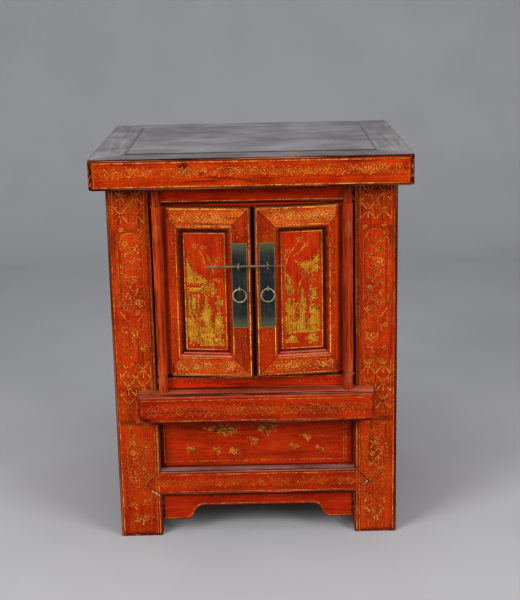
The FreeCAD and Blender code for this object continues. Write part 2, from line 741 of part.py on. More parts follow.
def build_side(name, side):
    """Three rails and two panels between a front and a back post."""
    start, end = "face + post_depth", "rear - post_depth"
    layer = (f"{side} * (half_body - panel_inner)", f"{side} * (half_body - panel_inset)")
    rail_names = ("bottom_rail", "middle_rail", "top_rail")
    for rail_name, (bottom, top) in zip(rail_names, rail_levels()):
        rail = new_body(f"{name}_{rail_name}")
        pad(rail, "front", start, end,
            rectangle(f"{side} * (half_body - side_inset - side_rail_thickness)", bottom,
                      f"{side} * (half_body - side_inset)", top))
        pad(rail, "front", f"{start} - side_tenon_length", f"{end} + side_tenon_length",
            rectangle(layer[0], f"{bottom} + tenon_shoulder", layer[1], f"{top} - tenon_shoulder"))
        if rail_name != "top_rail":
            cut(rail, "front", start, end,
                rectangle(layer[0], f"{top} - groove_depth", layer[1], f"{top} + {MARGIN}"))
        if rail_name != "bottom_rail":
            cut(rail, "front", start, end,
                rectangle(layer[0], f"{bottom} - {MARGIN}", layer[1], f"{bottom} + groove_depth"))
    for panel_name, (bottom, top) in zip(("lower_panel", "upper_panel"), panel_levels()):
        panel = new_body(f"{name}_{panel_name}")
        pad(panel, "front", f"{start} - panel_reach", f"{end} + panel_reach",
            rectangle(layer[0], f"{bottom} - panel_reach", layer[1], f"{top} + panel_reach"))


def build_back():
    """Three rails and two panels between the back posts."""
    layer = ("rear - panel_inner", "rear - panel_inset")
    rail_names = ("bottom_rail", "middle_rail", "top_rail")
    for rail_name, (bottom, top) in zip(rail_names, rail_levels()):
        rail = new_body(f"back_{rail_name}")
        pad(rail, "side", "-half_back_opening", "half_back_opening",
            rectangle("rear - side_inset - side_rail_thickness", bottom, "rear - side_inset", top))
        pad(rail, "side", "-half_back_opening - side_tenon_length", "half_back_opening + side_tenon_length",
            rectangle(layer[0], f"{bottom} + tenon_shoulder", layer[1], f"{top} - tenon_shoulder"))
        if rail_name != "top_rail":
            cut(rail, "side", "-half_back_opening", "half_back_opening",
                rectangle(layer[0], f"{top} - groove_depth", layer[1], f"{top} + {MARGIN}"))
        if rail_name != "bottom_rail":
            cut(rail, "side", "-half_back_opening", "half_back_opening",
                rectangle(layer[0], f"{bottom} - {MARGIN}", layer[1], f"{bottom} + groove_depth"))
    for panel_name, (bottom, top) in zip(("lower_panel", "upper_panel"), panel_levels()):
        panel = new_body(f"back_{panel_name}")
        pad(panel, "side", "-half_back_opening - panel_reach", "half_back_opening + panel_reach",
            rectangle(layer[0], f"{bottom} - panel_reach", layer[1], f"{top} + panel_reach"))


def build_floor(label, z, thickness, front):
    """A floor board notched round the four posts, lying on the rails up to the panels."""
    piece = new_body(label, z=z)
    gap = "edge_clearance"
    wide = f"half_body - panel_inner - {gap}"
    front_edge, back_edge = f"half_opening - {gap}", f"half_back_opening - {gap}"
    steps = [(front_edge, front), (front_edge, f"face + post_depth + {gap}"),
             (wide, f"face + post_depth + {gap}"), (wide, f"rear - post_depth - {gap}"),
             (back_edge, f"rear - post_depth - {gap}"), (back_edge, f"rear - panel_inner - {gap}")]
    mirrored = [(f"-({x})", y) for x, y in reversed(steps)]
    pad(piece, "plan", "0", thickness, steps + mirrored)


# ---------------------------------------------------------------- door leaves

def leaf_body(label, side):
    """A body in the leaf's own frame: origin on the pole's axis at the leaf's lower edge."""
    return new_body(label, f"{side} * pole_x", "pole_y", "leaf_bottom", f"{side} * door_ajar")


def leaf_point(side, x, y):
    """Where a point of the leaf's own plan stands on the cabinet, with the leaf ajar."""
    cosine, sine = "cos(door_ajar * 1 deg)", "sin(door_ajar * 1 deg)"
    return (f"{side} * (pole_x - ({x}) * {cosine} - ({y}) * {sine})",
            f"pole_y - ({x}) * {sine} + ({y}) * {cosine}")


def from_end(end, distance):
    """A height on the leaf, measured from its bottom (0) or its top (1)."""
    return distance if end == 0 else f"leaf_height - ({distance})"


def pivot_stile(name, side):
    """Outer stile with its round pole edge and cove, mitred flat and turned pivots."""
    piece = leaf_body(f"{name}_pivot_stile", side)
    way = -side
    back_angle, cove_angle = 135, 10
    plan = [
        (f"{way} * stile_heel", "leaf_back"),
        (f"{way} * pole_radius * cos({back_angle} deg)", f"pole_radius * sin({back_angle} deg)"),
        Arc(f"{way} * pole_radius * cos({cove_angle} deg)", f"pole_radius * sin({cove_angle} deg)",
            "0", "0", "pole_radius", way),
        (f"{way} * (stile_flat_start - cove_radius)", "cove_radius - leaf_front"),
        Arc(f"{way} * stile_flat_start", "-leaf_front", f"{way} * (stile_flat_start - cove_radius)",
            "-leaf_front", "cove_radius", -way),
        (f"{way} * (stile_flat_start + stile_flat)", "-leaf_front"),
        (f"{way} * stile_edge", "leaf_bevel - leaf_front"),
        (f"{way} * stile_edge", "leaf_back"),
    ]
    pad(piece, "plan", "0", "leaf_height", plan)
    for end in (0, 1):
        low, high = from_end(end, f"-{MARGIN}"), from_end(end, f"leaf_border + {MARGIN}")
        cut(piece, "front", f"-leaf_front - {MARGIN}", f"leaf_back + {MARGIN}", [
            (f"{way} * stile_flat_start", low),
            (f"{way} * (stile_edge + {MARGIN})", low),
            (f"{way} * (stile_edge + {MARGIN})", high),
            (f"{way} * stile_flat_start", from_end(end, "leaf_border - stile_edge + stile_flat_start")),
        ])
        cut(piece, "side", *across(way, "leaf_tenon_reach - edge_clearance", f"stile_edge + {MARGIN}"),
            rectangle("panel_front", from_end(end, "leaf_tenon_start"),
                      "panel_back", from_end(end, "leaf_tenon_start + leaf_tenon_height")))
    cut(piece, "plan", f"-{MARGIN}", f"leaf_height + {MARGIN}",
        rectangle(f"{way} * (stile_edge - groove_depth)", "panel_front",
                  f"{way} * (stile_edge + {MARGIN})", "panel_back"))
    pivot = ("0", "0", "pivot_radius")
    pad(piece, "plan", "ledge_top - ledge_socket_depth + stop_gap - leaf_bottom", MARGIN, pivot)
    pad(piece, "plan", f"leaf_height - {MARGIN}", "underside + top_pivot_entry - leaf_bottom", pivot)


def meeting_stile(name, side, holes):
    """Inner stile, mitred at both ends, grooved for the panel and bored for the hardware's shanks."""
    piece = leaf_body(f"{name}_meeting_stile", side)
    way = -side
    inner = "leaf_width - leaf_border"
    pad(piece, "front", "-leaf_front", "leaf_back", [
        (f"{way} * leaf_width", "0"),
        (f"{way} * leaf_width", "leaf_height"),
        (f"{way} * ({inner})", "leaf_height - leaf_border"),
        (f"{way} * ({inner})", "leaf_border"),
    ])
    cut(piece, "plan", f"-{MARGIN}", f"leaf_height + {MARGIN}", [
        (f"{way} * ({inner} - {MARGIN})", f"-leaf_front - {MARGIN}"),
        (f"{way} * ({inner} + leaf_bevel + {MARGIN})", f"-leaf_front - {MARGIN}"),
        (f"{way} * ({inner} - {MARGIN})", f"leaf_bevel - leaf_front + {MARGIN}"),
    ])
    cut(piece, "plan", f"-{MARGIN}", f"leaf_height + {MARGIN}",
        rectangle(f"{way} * ({inner} - {MARGIN})", "panel_front",
                  f"{way} * ({inner} + groove_depth)", "panel_back"))
    for end in (0, 1):
        cut(piece, "side", *across(way, f"{inner} - {MARGIN}", "leaf_width - leaf_tenon_cover + edge_clearance"),
            rectangle("panel_front", from_end(end, "leaf_tenon_start"),
                      "panel_back", from_end(end, "leaf_tenon_start + leaf_tenon_height")))
    for height in holes:
        cut(piece, "front", f"-leaf_front - {MARGIN}", f"leaf_back + {MARGIN}",
            (f"{way} * hardware_x", height, "shank_hole"))


def leaf_rail(name, side, end):
    """Top or bottom rail: mitred to the stiles, bevelled and grooved on its inner edge, with tenons."""
    piece = leaf_body(f"{name}_{('bottom', 'top')[end]}_rail", side)
    way = -side
    pad(piece, "front", "-leaf_front", "leaf_back", [
        (f"{way} * stile_flat_start", from_end(end, "0")),
        (f"{way} * leaf_width", from_end(end, "0")),
        (f"{way} * (leaf_width - leaf_border)", from_end(end, "leaf_border")),
        (f"{way} * stile_edge", from_end(end, "leaf_border")),
        (f"{way} * stile_flat_start", from_end(end, "leaf_border - stile_edge + stile_flat_start")),
    ])
    span = across(way, f"stile_flat_start - {MARGIN}", f"leaf_width + {MARGIN}")
    cut(piece, "side", *span, [
        (f"-leaf_front - {MARGIN}", from_end(end, f"leaf_border + {MARGIN}")),
        (f"-leaf_front - {MARGIN}", from_end(end, f"leaf_border - leaf_bevel - {MARGIN}")),
        (f"leaf_bevel - leaf_front + {MARGIN}", from_end(end, f"leaf_border + {MARGIN}")),
    ])
    cut(piece, "side", *span,
        rectangle("panel_front", from_end(end, "leaf_border - groove_depth"),
                  "panel_back", from_end(end, f"leaf_border + {MARGIN}")))
    pad(piece, "side", *across(way, "leaf_tenon_reach", "leaf_width - leaf_tenon_cover"),
        rectangle("panel_front", from_end(end, "leaf_tenon_start"),
                  "panel_back", from_end(end, "leaf_tenon_start + leaf_tenon_height")))


def door_panel(name, side):
    """Panel that floats in the leaf's grooves."""
    piece = leaf_body(f"{name}_panel", side)
    way = -side
    reach = "panel_reach"
    pad(piece, "front", "panel_front", "panel_back",
        rectangle(f"{way} * (stile_edge - {reach})", f"leaf_border - {reach}",
                  f"{way} * (leaf_width - leaf_border + {reach})", f"leaf_height - leaf_border + {reach}"))


def lock_plate(name, side, holes):
    """Thin metal plate on the meeting stile, pierced for the shanks."""
    piece = leaf_body(f"{name}_lock_plate", side)
    way = -side
    pad(piece, "front", "-plate_front", "-leaf_front",
        rectangle(f"{way} * (hardware_x - plate_width / 2)", "plate_middle - plate_height / 2",
                  f"{way} * (hardware_x + plate_width / 2)", "plate_middle + plate_height / 2"))
    for height in holes:
        cut(piece, "front", f"-plate_front - {MARGIN}", f"-leaf_front + {MARGIN}",
            (f"{way} * hardware_x", height, "shank_hole"))


def hardware_body(label, side, stand, height, turn="door_ajar"):
    """A body whose origin stands in front of the leaf at the hardware's line."""
    x, y = leaf_point(side, "hardware_x", f"-({stand})")
    return new_body(label, x, y, f"leaf_bottom + {height}", f"{side} * ({turn})")


def clinch(piece, back, spread):
    """The shank's end beaten flat, and bent down on the back of the stile."""
    pad(piece, "plan", f"-({spread}) - clinch_length", f"{spread} + clinch_width / 2",
        rectangle("-clinch_width / 2", back, "clinch_width / 2", f"{back} + clinch_thickness"))


def split_eye(label, side, stand, height, radius, wire):
    """Closed eye on a shank that runs through plate and stile and is clinched behind."""
    piece = hardware_body(label, side, stand, height)
    turned(piece, "H_Axis", ("0", radius, wire))
    back = f"{stand} + leaf_back"
    pad(piece, "front", radius, f"{back} + clinch_thickness / 2", ("0", "0", "shank_radius"))
    clinch(piece, back, "0")


def forked_eye(label, side, stand, height):
    """Two prongs open to the front, one above and one below the pin, joined by their clinch behind."""
    piece = hardware_body(label, side, stand, height)
    back = f"{stand} + leaf_back"
    clinch(piece, back, "prong_offset")
    for sign in (LEFT, RIGHT):
        pad(piece, "front", "-prong_reach", f"{back} + clinch_thickness / 2",
            ("0", f"{sign} * prong_offset", "shank_radius"))


def build_door(name, side, pin_holes):
    """One leaf with its frame, panel, lock plate and pull ring."""
    holes = ["ring_height", *pin_holes]
    pivot_stile(name, side)
    meeting_stile(name, side, holes)
    for end in (0, 1):
        leaf_rail(name, side, end)
    door_panel(name, side)
    lock_plate(name, side, holes)
    split_eye(f"{name}_ring_eye", side, "ring_y", "ring_height", "ring_eye_radius", "ring_eye_wire")
    ring = hardware_body(f"{name}_ring", side, "ring_y", "ring_height - ring_radius")
    turned(ring, "V_Axis", ("ring_radius", "0", "ring_wire"))


def build_pin():
    """Lock pin through both eyes: tapered tail, body and thin tip, lying along X."""
    piece = hardware_body("lock_pin", LEFT, "pin_y", "pin_height", "0")
    turned(piece, "H_Axis", [
        ("-pin_tail", "0"),
        ("pin_reach + pin_tip", "0"),
        ("pin_reach + pin_tip", "pin_tip_radius"),
        ("pin_reach", "pin_tip_radius"),
        ("pin_reach - pin_taper", "pin_radius"),
        ("-pin_tail + 2 * pin_taper", "pin_radius"),
        ("-pin_tail", "pin_tail_radius"),
    ])


# ---------------------------------------------------------------- the cabinet

build_top()
front_post("front_left_post", LEFT)
front_post("front_right_post", RIGHT)
back_post("back_left_post", LEFT)
back_post("back_right_post", RIGHT)
build_front()
build_side("left", LEFT)
build_side("right", RIGHT)
build_back()
build_floor("cupboard_floor", "middle_rail_top", "floor_thickness",
            "face + rail_thickness - rail_stand - floor_bearing")
build_floor("chest_floor", "lower_rail_top", "chest_floor_thickness",
            "face + lower_panel_recess + panel_thickness + edge_clearance")
build_door("left_door", LEFT, ["pin_height"])
build_door("right_door", RIGHT, ["pin_height - prong_offset", "pin_height + prong_offset"])
split_eye("left_door_pin_eye", LEFT, "pin_y", "pin_height", "pin_eye_radius", "pin_eye_wire")
forked_eye("right_door_pin_eye", RIGHT, "pin_y", "pin_height")
build_pin()
doc.recompute()


def check_document():
    """Stop if any object failed, any body is not one sound solid, or a pocket removed nothing."""
    for item in doc.Objects:
        if "Invalid" in item.State or "Error" in item.State:
            raise RuntimeError(f"{item.Label} did not recompute: {item.State}")
        if item.TypeId == "PartDesign::Pocket" and item.Shape.Volume >= item.BaseFeature.Shape.Volume:
            raise RuntimeError(f"{item.Label} cuts nothing")
    for piece in doc.findObjects("PartDesign::Body"):
        if piece.Shape.isNull() or not piece.Shape.isValid() or len(piece.Shape.Solids) != 1:
            raise RuntimeError(f"{piece.Label} is not one sound solid")


def export_parts():
    """Write each body to its own STEP file."""
    os.makedirs("parts", exist_ok=True)
    for piece in doc.findObjects("PartDesign::Body"):
        piece.Shape.exportStep(f"parts/{piece.Label}.step")


check_document()
export_parts()
print(f"{len(doc.findObjects('PartDesign::Body'))} pieces written")
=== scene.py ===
"""Looks of a red-lacquered cabinet on stand: worn lacquer, gilt lines and scrolls, patinated brass.

+Z up, the doors face -Y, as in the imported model. Lengths are written in millimetres; meshes and shaders take them
times MM.
"""

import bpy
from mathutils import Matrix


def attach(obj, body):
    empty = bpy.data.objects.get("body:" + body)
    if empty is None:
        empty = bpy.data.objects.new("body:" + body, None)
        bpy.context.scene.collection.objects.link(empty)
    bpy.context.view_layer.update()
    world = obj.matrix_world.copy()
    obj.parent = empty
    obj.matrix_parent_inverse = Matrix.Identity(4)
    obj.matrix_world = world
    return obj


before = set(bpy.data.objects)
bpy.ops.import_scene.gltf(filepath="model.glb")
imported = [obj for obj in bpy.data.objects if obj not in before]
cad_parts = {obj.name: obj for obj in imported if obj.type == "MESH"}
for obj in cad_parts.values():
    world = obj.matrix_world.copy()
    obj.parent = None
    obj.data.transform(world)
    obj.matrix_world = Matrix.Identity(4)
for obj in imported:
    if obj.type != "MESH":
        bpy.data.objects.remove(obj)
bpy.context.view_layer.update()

import logging
import math
from dataclasses import dataclass, field, replace
from enum import Enum
from functools import partial
from typing import Callable, Sequence, Union

import bpy
import numpy as np
from mathutils import Matrix, Vector

LOG = logging.getLogger("cabinet")
MM = 0.001
TURN = 2.0 * math.pi
FAR = 1.0e5
SIDES = ((-1.0, "left"), (1.0, "right"))

Point = tuple[float, float]
Triple = tuple[float, float, float]
Source = Union["Signal", float, Sequence[float]]
Signals = dict[str, "Signal"]


def metres(lengths: Sequence[float]) -> tuple[float, ...]:
    """Millimetres as metres."""
    return tuple(MM * length for length in lengths)


# ------------------------------------------------------------------ shader trees


@dataclass(frozen=True)
class Signal:
    """What a node gives. Arithmetic on it adds Math nodes."""

    graph: "Graph"
    socket: bpy.types.NodeSocket

    def __add__(self, other: Source) -> "Signal":
        """The sum."""
        return self.graph.maths("ADD", self, other)

    def __sub__(self, other: Source) -> "Signal":
        """The difference."""
        return self.graph.maths("SUBTRACT", self, other)

    def __rsub__(self, other: Source) -> "Signal":
        """What it leaves of a number."""
        return self.graph.maths("SUBTRACT", other, self)

    def __mul__(self, other: Source) -> "Signal":
        """The product."""
        return self.graph.maths("MULTIPLY", self, other)

    def at_least(self, other: Source) -> "Signal":
        """The larger one."""
        return self.graph.maths("MAXIMUM", self, other)

    def at_most(self, other: Source) -> "Signal":
        """The smaller one."""
        return self.graph.maths("MINIMUM", self, other)

    def fade(self, low: float, high: float) -> "Signal":
        """A smooth step from 0 at the low value to 1 at the high one."""
        inputs = {"Value": self, "From Min": low, "From Max": high}
        return self.graph.give("MapRange", "Result", inputs, interpolation_type="SMOOTHSTEP")


@dataclass(frozen=True)
class Graph:
    """A shader tree with short ways to add nodes and join them."""

    tree: bpy.types.NodeTree

    def add(self, kind: str, inputs: dict[Union[str, int], Source], **settings: object) -> bpy.types.Node:
        """Add a node.

        Args:
            kind: Blender's name for the node type.
            inputs: A signal or a constant for each input, by name or number.
            settings: The node's own properties.

        Returns:
            The new node.
        """
        node = self.tree.nodes.new(kind)
        for name, setting in settings.items():
            setattr(node, name, setting)
        for name, source in inputs.items():
            self.join(source, node.inputs[name])
        return node

    def join(self, source: Source, socket: bpy.types.NodeSocket) -> None:
        """Link a signal to an input, or set a constant on it."""
        if isinstance(source, Signal):
            self.tree.links.new(source.socket, socket)
        elif socket.type == "RGBA":
            socket.default_value = (*source[:3], 1.0)
        else:
            socket.default_value = source

    def outputs(self, node: bpy.types.Node) -> Signals:
        """All that a node gives, by name."""
        return {socket.name: Signal(self, socket) for socket in node.outputs if socket.name}

    def give(self, kind: str, output: Union[str, int], inputs: dict[Union[str, int], Source] | None = None,
             **settings: object) -> Signal:
        """One output of a new shader node."""
        return Signal(self, self.add(f"ShaderNode{kind}", inputs or {}, **settings).outputs[output])

    def maths(self, operation: str, first: Source, second: Source = 0.0) -> Signal:
        """The result of one Math node."""
        return self.give("Math", 0, {0: first, 1: second}, operation=operation)

    def vector(self, operation: str, first: Source, second: Source, output: str = "Vector") -> Signal:
        """What one Vector Math node gives."""
        return self.give("VectorMath", output, {0: first, 1: second}, operation=operation)

    def mix(self, factor: Source, first: Source, second: Source) -> Signal:
        """The first colour going over to the second as the factor rises."""
        return self.give("Mix", 2, {0: factor, 6: first, 7: second}, data_type="RGBA")

    def blend(self, factor: Source, first: Source, second: Source) -> Signal:
        """The first value going over to the second as the factor rises."""
        return self.give("Mix", 0, {0: factor, 2: first, 3: second}, data_type="FLOAT")

    def noise(self, place: Source, scale: float, detail: float = 3.0, distortion: float = 0.0) -> Signal:
        """Fractal noise from 0 to 1, mostly between 0.35 and 0.65."""
        inputs = {"Vector": place, "Scale": scale, "Detail": detail, "Distortion": distortion}
        return self.give("TexNoise", 0, inputs)

    def apart(self, vector: Source) -> list[Signal]:
        """The three components of a vector."""
        return list(self.outputs(self.add("ShaderNodeSeparateXYZ", {0: vector})).values())


VECTORS = {"Coordinates", "Low", "High", "Stretch"}
COLOURS = {"Colour", "Bright", "Deep", "Grime", "Wood", "Gold", "Dark", "Pale", "Brown", "Patina", "Metal", "Browned",
           "Ground", "Light"}


@dataclass
class Effect:
    """A shader effect that several materials share, built once as a node group."""

    recipe: Callable[[Graph, Signals], Signals]
    takes: str
    gives: str = "Colour Roughness Height"
    group: bpy.types.NodeTree | None = None

    def build(self) -> bpy.types.NodeTree:
        """Make the node group on first use.

        Returns:
            The group's tree.
        """
        if self.group is None:
            self.group = bpy.data.node_groups.new(self.recipe.__name__, "ShaderNodeTree")
            for way, labels in (("INPUT", self.takes), ("OUTPUT", self.gives)):
                for label in labels.split():
                    kind = "Vector" if label in VECTORS else "Color" if label in COLOURS else "Float"
                    self.group.interface.new_socket(name=label, in_out=way, socket_type=f"NodeSocket{kind}")
            graph = Graph(self.group)
            graph.add("NodeGroupOutput", self.recipe(graph, graph.outputs(graph.add("NodeGroupInput", {}))))
        return self.group

    def place(self, graph: Graph, inputs: dict[str, Source]) -> Signals:
        """Put the effect into a material with its own values."""
        return graph.outputs(graph.add("ShaderNodeGroup", inputs, node_tree=self.build()))


def board_edge(graph: Graph, given: Signals) -> Signals:
    """Distance to the nearest arris of a board: the middle one of the distances to its three pairs of faces.

    Args:
        graph: The group's tree.
        given: What comes in, by name.

    Returns:
        What goes out, by name.
    """
    below = graph.vector("SUBTRACT", given["Coordinates"], given["Low"])
    above = graph.vector("SUBTRACT", given["High"], given["Coordinates"])
    first, second, third = graph.apart(graph.vector("MINIMUM", below, above))
    middle = first.at_most(second).at_least(first.at_least(second).at_most(third))
    return {"Distance": middle.at_least(0.0)}


def worn_lacquer(graph: Graph, given: Signals) -> Signals:
    """Brushed lacquer: streaks along the grain, gold dust, dirt in blotches and specks, a dark band along the arrises
    that is dirt and painted shade, and painted shade in nooks.

    Args:
        graph: The group's tree.
        given: What comes in, by name.

    Returns:
        What goes out, by name.
    """
    place = given["Coordinates"]
    along = graph.vector("MULTIPLY", place, given["Stretch"])
    streak, fine = graph.noise(along, 330.0, 4.0, 0.4), graph.noise(place, 210.0)
    tone = streak * 0.40 + graph.noise(along, 70.0) * 0.25 + graph.noise(place, 16.0, 5.0) * 0.35
    colour = graph.mix(tone.fade(0.42, 0.58), given["Deep"], given["Bright"])
    powder = graph.noise(place, 430.0, 4.0).fade(0.50, 0.60) * graph.noise(place, 22.0, 4.0, 0.5).fade(0.36, 0.60)
    colour = graph.mix(powder * given["Dust"], colour, given["Gold"])
    near = given["Edge"] + (graph.noise(along, 110.0, 5.0) - 0.5) * 0.008
    # A dark band along each arris: dirt, and painted shade at the joints between boards.
    band = 1.0 - near.fade(0.0018, 0.0075)
    blotch = graph.noise(along, 150.0, 5.0, 0.8).fade(0.56, 0.70) * 0.70
    specks = graph.noise(place, 520.0, 2.0).fade(0.60, 0.68) * 0.8
    dirt = band.at_least(blotch).at_least(specks) * given["Dirt"]
    # Painted shade in nooks, under overhangs and beside parts, together with any stains given with it, uneven along the
    # streaks.
    shade_and_stains = given["Nook"] * graph.blend(streak, 1.15, 0.75)
    colour = graph.mix(dirt.at_least(shade_and_stains).at_most(1.0), colour, given["Grime"])
    # A thin line just inside each arris, in the Wood colour: partly worn bare, partly painted highlight.
    line = 1.0 - graph.maths("ABSOLUTE", near - 0.0018).fade(0.0003, 0.0013)
    rubbed = line * graph.noise(along, 90.0, 5.0).fade(0.46, 0.60) * given["Rubbed"]
    return {"Colour": graph.mix(rubbed, colour, given["Wood"]), "Roughness": fine * 0.24 + rubbed * 0.25 + 0.30,
            "Height": streak * 0.55 + fine * 0.35 - rubbed * 0.5}


def rubbed_top(graph: Graph, given: Signals) -> Signals:
    """Grey-brown lacquer worn by use: cloudy patches, scratches along the grain and brown bare streaks.

    Args:
        graph: The group's tree.
        given: What comes in, by name.

    Returns:
        What goes out, by name.
    """
    place = given["Coordinates"]
    along = graph.vector("MULTIPLY", place, given["Stretch"])
    cloud, streak = graph.noise(place, 9.0, 6.0, 0.6), graph.noise(along, 150.0, 5.0, 0.5)
    bare = graph.noise(along, 46.0, 5.0).fade(0.55, 0.68)
    crack = graph.noise(along, 210.0, 4.0, 0.3).fade(0.60, 0.68)
    scratch = graph.noise(along, 700.0, 2.0).fade(0.62, 0.70)
    edge = 1.0 - given["Edge"].fade(0.0006, 0.0030)
    colour = graph.mix((cloud * 0.6 + streak * 0.4).fade(0.30, 0.72), given["Dark"], given["Pale"])
    for mark, share, name in ((bare, 0.35, "Brown"), (crack, 0.5, "Brown"), (scratch, 0.35, "Pale"),
                              (edge, 0.75, "Dark")):
        colour = graph.mix(mark * share, colour, given[name])
    return {"Colour": colour, "Roughness": cloud * 0.30 + 0.58, "Height": streak * 0.7 + scratch * -0.3}


def old_brass(graph: Graph, given: Signals) -> Signals:
    """Brass under a dark patina that handling has thinned at the rim, towards the ends and in faint streaks.

    Args:
        graph: The group's tree.
        given: What comes in, by name.

    Returns:
        What goes out, by name.
    """
    place = given["Coordinates"]
    streak = graph.noise(graph.vector("MULTIPLY", place, given["Stretch"]), 420.0, 4.0)
    rim = (1.0 - given["Edge"].fade(0.0003, 0.0016)) * given["Rim"]
    show = ((streak + graph.noise(place, 60.0, 5.0, 0.5)) * 0.5).fade(0.42, 0.72) * given["Streaks"]
    show = (show.at_least(rim) + given["Thin"]).at_most(1.0)
    return {"Colour": graph.mix(show, given["Patina"], given["Metal"]), "Shine": show * 0.6 + 0.1,
            "Roughness": 0.50 - show * 0.14, "Height": streak}


def worn_gilt(graph: Graph, given: Signals) -> Signals:
    """Gilt that is bright in places, browned in others and rubbed down to the lacquer in patches.

    Args:
        graph: The group's tree.
        given: What comes in, by name.

    Returns:
        What goes out, by name.
    """
    place = given["Coordinates"]
    fine = graph.noise(place, 380.0)
    colour = graph.mix(graph.noise(place, 45.0, 5.0, 0.4).fade(0.38, 0.60), given["Browned"], given["Gold"])
    gone = (fine * 0.55 + graph.noise(place, 75.0, 4.0) * 0.45 + given["Loss"]).fade(0.50, 0.58)
    return {"Colour": graph.mix(gone, colour, given["Ground"]), "Shine": (1.0 - gone) * 0.12,
            "Roughness": fine * 0.3 + 0.28, "Height": fine}


def board_grain(graph: Graph, given: Signals) -> Signals:
    """Bare or thinly stained wood: growth lines that wander along the board, pores and stains.

    Args:
        graph: The group's tree.
        given: What comes in, by name.

    Returns:
        What goes out, by name.
    """
    place = given["Coordinates"]
    along = graph.vector("MULTIPLY", place, given["Stretch"])
    lines, pores = graph.noise(along, 130.0, 6.0, 1.4), graph.noise(along, 900.0, 2.0)
    tone = (lines * 0.7 + graph.noise(place, 7.0, 4.0) * 0.3).fade(0.38, 0.62)
    colour = graph.mix(tone, given["Dark"], given["Light"])
    return {"Colour": graph.mix(pores.fade(0.58, 0.68) * 0.4, colour, given["Dark"]),
            "Roughness": pores * 0.3 + 0.60, "Height": lines}


BOARD_EDGE = Effect(board_edge, "Coordinates Low High", "Distance")
WORN_LACQUER = Effect(worn_lacquer, "Coordinates Stretch Edge Bright Deep Grime Wood Gold Dirt Rubbed Dust Nook")
RUBBED_TOP = Effect(rubbed_top, "Coordinates Stretch Edge Dark Pale Brown")
OLD_BRASS = Effect(old_brass, "Coordinates Stretch Edge Patina Metal Rim Streaks Thin", "Colour Shine Roughness Height")
WORN_GILT = Effect(worn_gilt, "Coordinates Gold Browned Ground Loss", "Colour Shine Roughness Height")
BOARD_GRAIN = Effect(board_grain, "Coordinates Stretch Dark Light")


# ------------------------------------------------------------------ places and finishes


class Grain(Enum):
    """Which way a board's grain and brush strokes run, as the scale that stretches a pattern that way."""

    ALONG_X = (0.05, 1.0, 1.0)
    ALONG_Y = (1.0, 0.05, 1.0)
    ALONG_Z = (1.0, 1.0, 0.05)


ALONG_X, ALONG_Y, ALONG_Z = Grain


@dataclass(frozen=True)
class Frame:
    """A place that a piece is drawn in: an origin and a turn about the vertical, in radians."""

    origin: Triple = (0.0, 0.0, 0.0)
    turn: float = 0.0

    def rotation(self) -> np.ndarray:
        """The turn as a matrix for row vectors, from this place to the cabinet."""
        cosine, sine = math.cos(self.turn), math.sin(self.turn)
        return np.array([[cosine, sine, 0.0], [-sine, cosine, 0.0], [0.0, 0.0, 1.0]])

    def local(self, points: np.ndarray) -> np.ndarray:
        """Points of the cabinet as this place sees them."""
        return (points - np.array(self.origin)) @ self.rotation().T

    def world(self, points: np.ndarray) -> np.ndarray:
        """Points of this place as the cabinet sees them."""
        return points @ self.rotation() + np.array(self.origin)

    def coordinates(self, graph: Graph) -> Signal:
        """The piece's own coordinates, moved and turned into this place."""
        own = graph.give("TexCoord", "Object")
        if self.turn == 0.0:
            return own
        moved = graph.vector("SUBTRACT", own, metres(self.origin))
        return graph.give("Mapping", "Vector", {"Vector": moved, "Rotation": (0.0, 0.0, -self.turn)})


@dataclass(frozen=True)
class Nook:
    """A patch of painted shade, stain, gold dust or painted highlight: its middle, and how far it reaches each way."""

    middle: Triple
    reach: Triple
    most: float = 1.0

    def amount(self, graph: Graph, place: Signal, ragged: Signal) -> Signal:
        """How much lies at each point.

        Args:
            graph: The material's tree.
            place: The coordinates.
            ragged: Moves the rim in and out.

        Returns:
            The share, up to the most.
        """
        offset = graph.vector("SUBTRACT", place, metres(self.middle))
        offset = graph.vector("MULTIPLY", offset, tuple(1.0 / length for length in metres(self.reach)))
        away = graph.vector("LENGTH", offset, (0.0, 0.0, 0.0), "Value")
        return (1.0 - (away + ragged).fade(0.30, 1.0)) * self.most


def level(height: float, reach: float, most: float = 1.0) -> Nook:
    """Marks along a level."""
    return Nook((0.0, 0.0, height), (FAR, FAR, reach), most)


def upright(across: float, reach: float, most: float = 1.0) -> Nook:
    """Marks along an upright."""
    return Nook((across, 0.0, 0.0), (reach, FAR, FAR), most)


def lengthwise(depth: float, reach: float, most: float) -> Nook:
    """Marks along a line of equal depth."""
    return Nook((0.0, depth, 0.0), (FAR, reach, FAR), most)


def spot(across: float, depth: float, height: float, wide: float, tall: float, most: float = 1.0) -> Nook:
    """A mark of some width and height on a face at a depth."""
    return Nook((across, depth, height), (wide, FAR, tall), most)


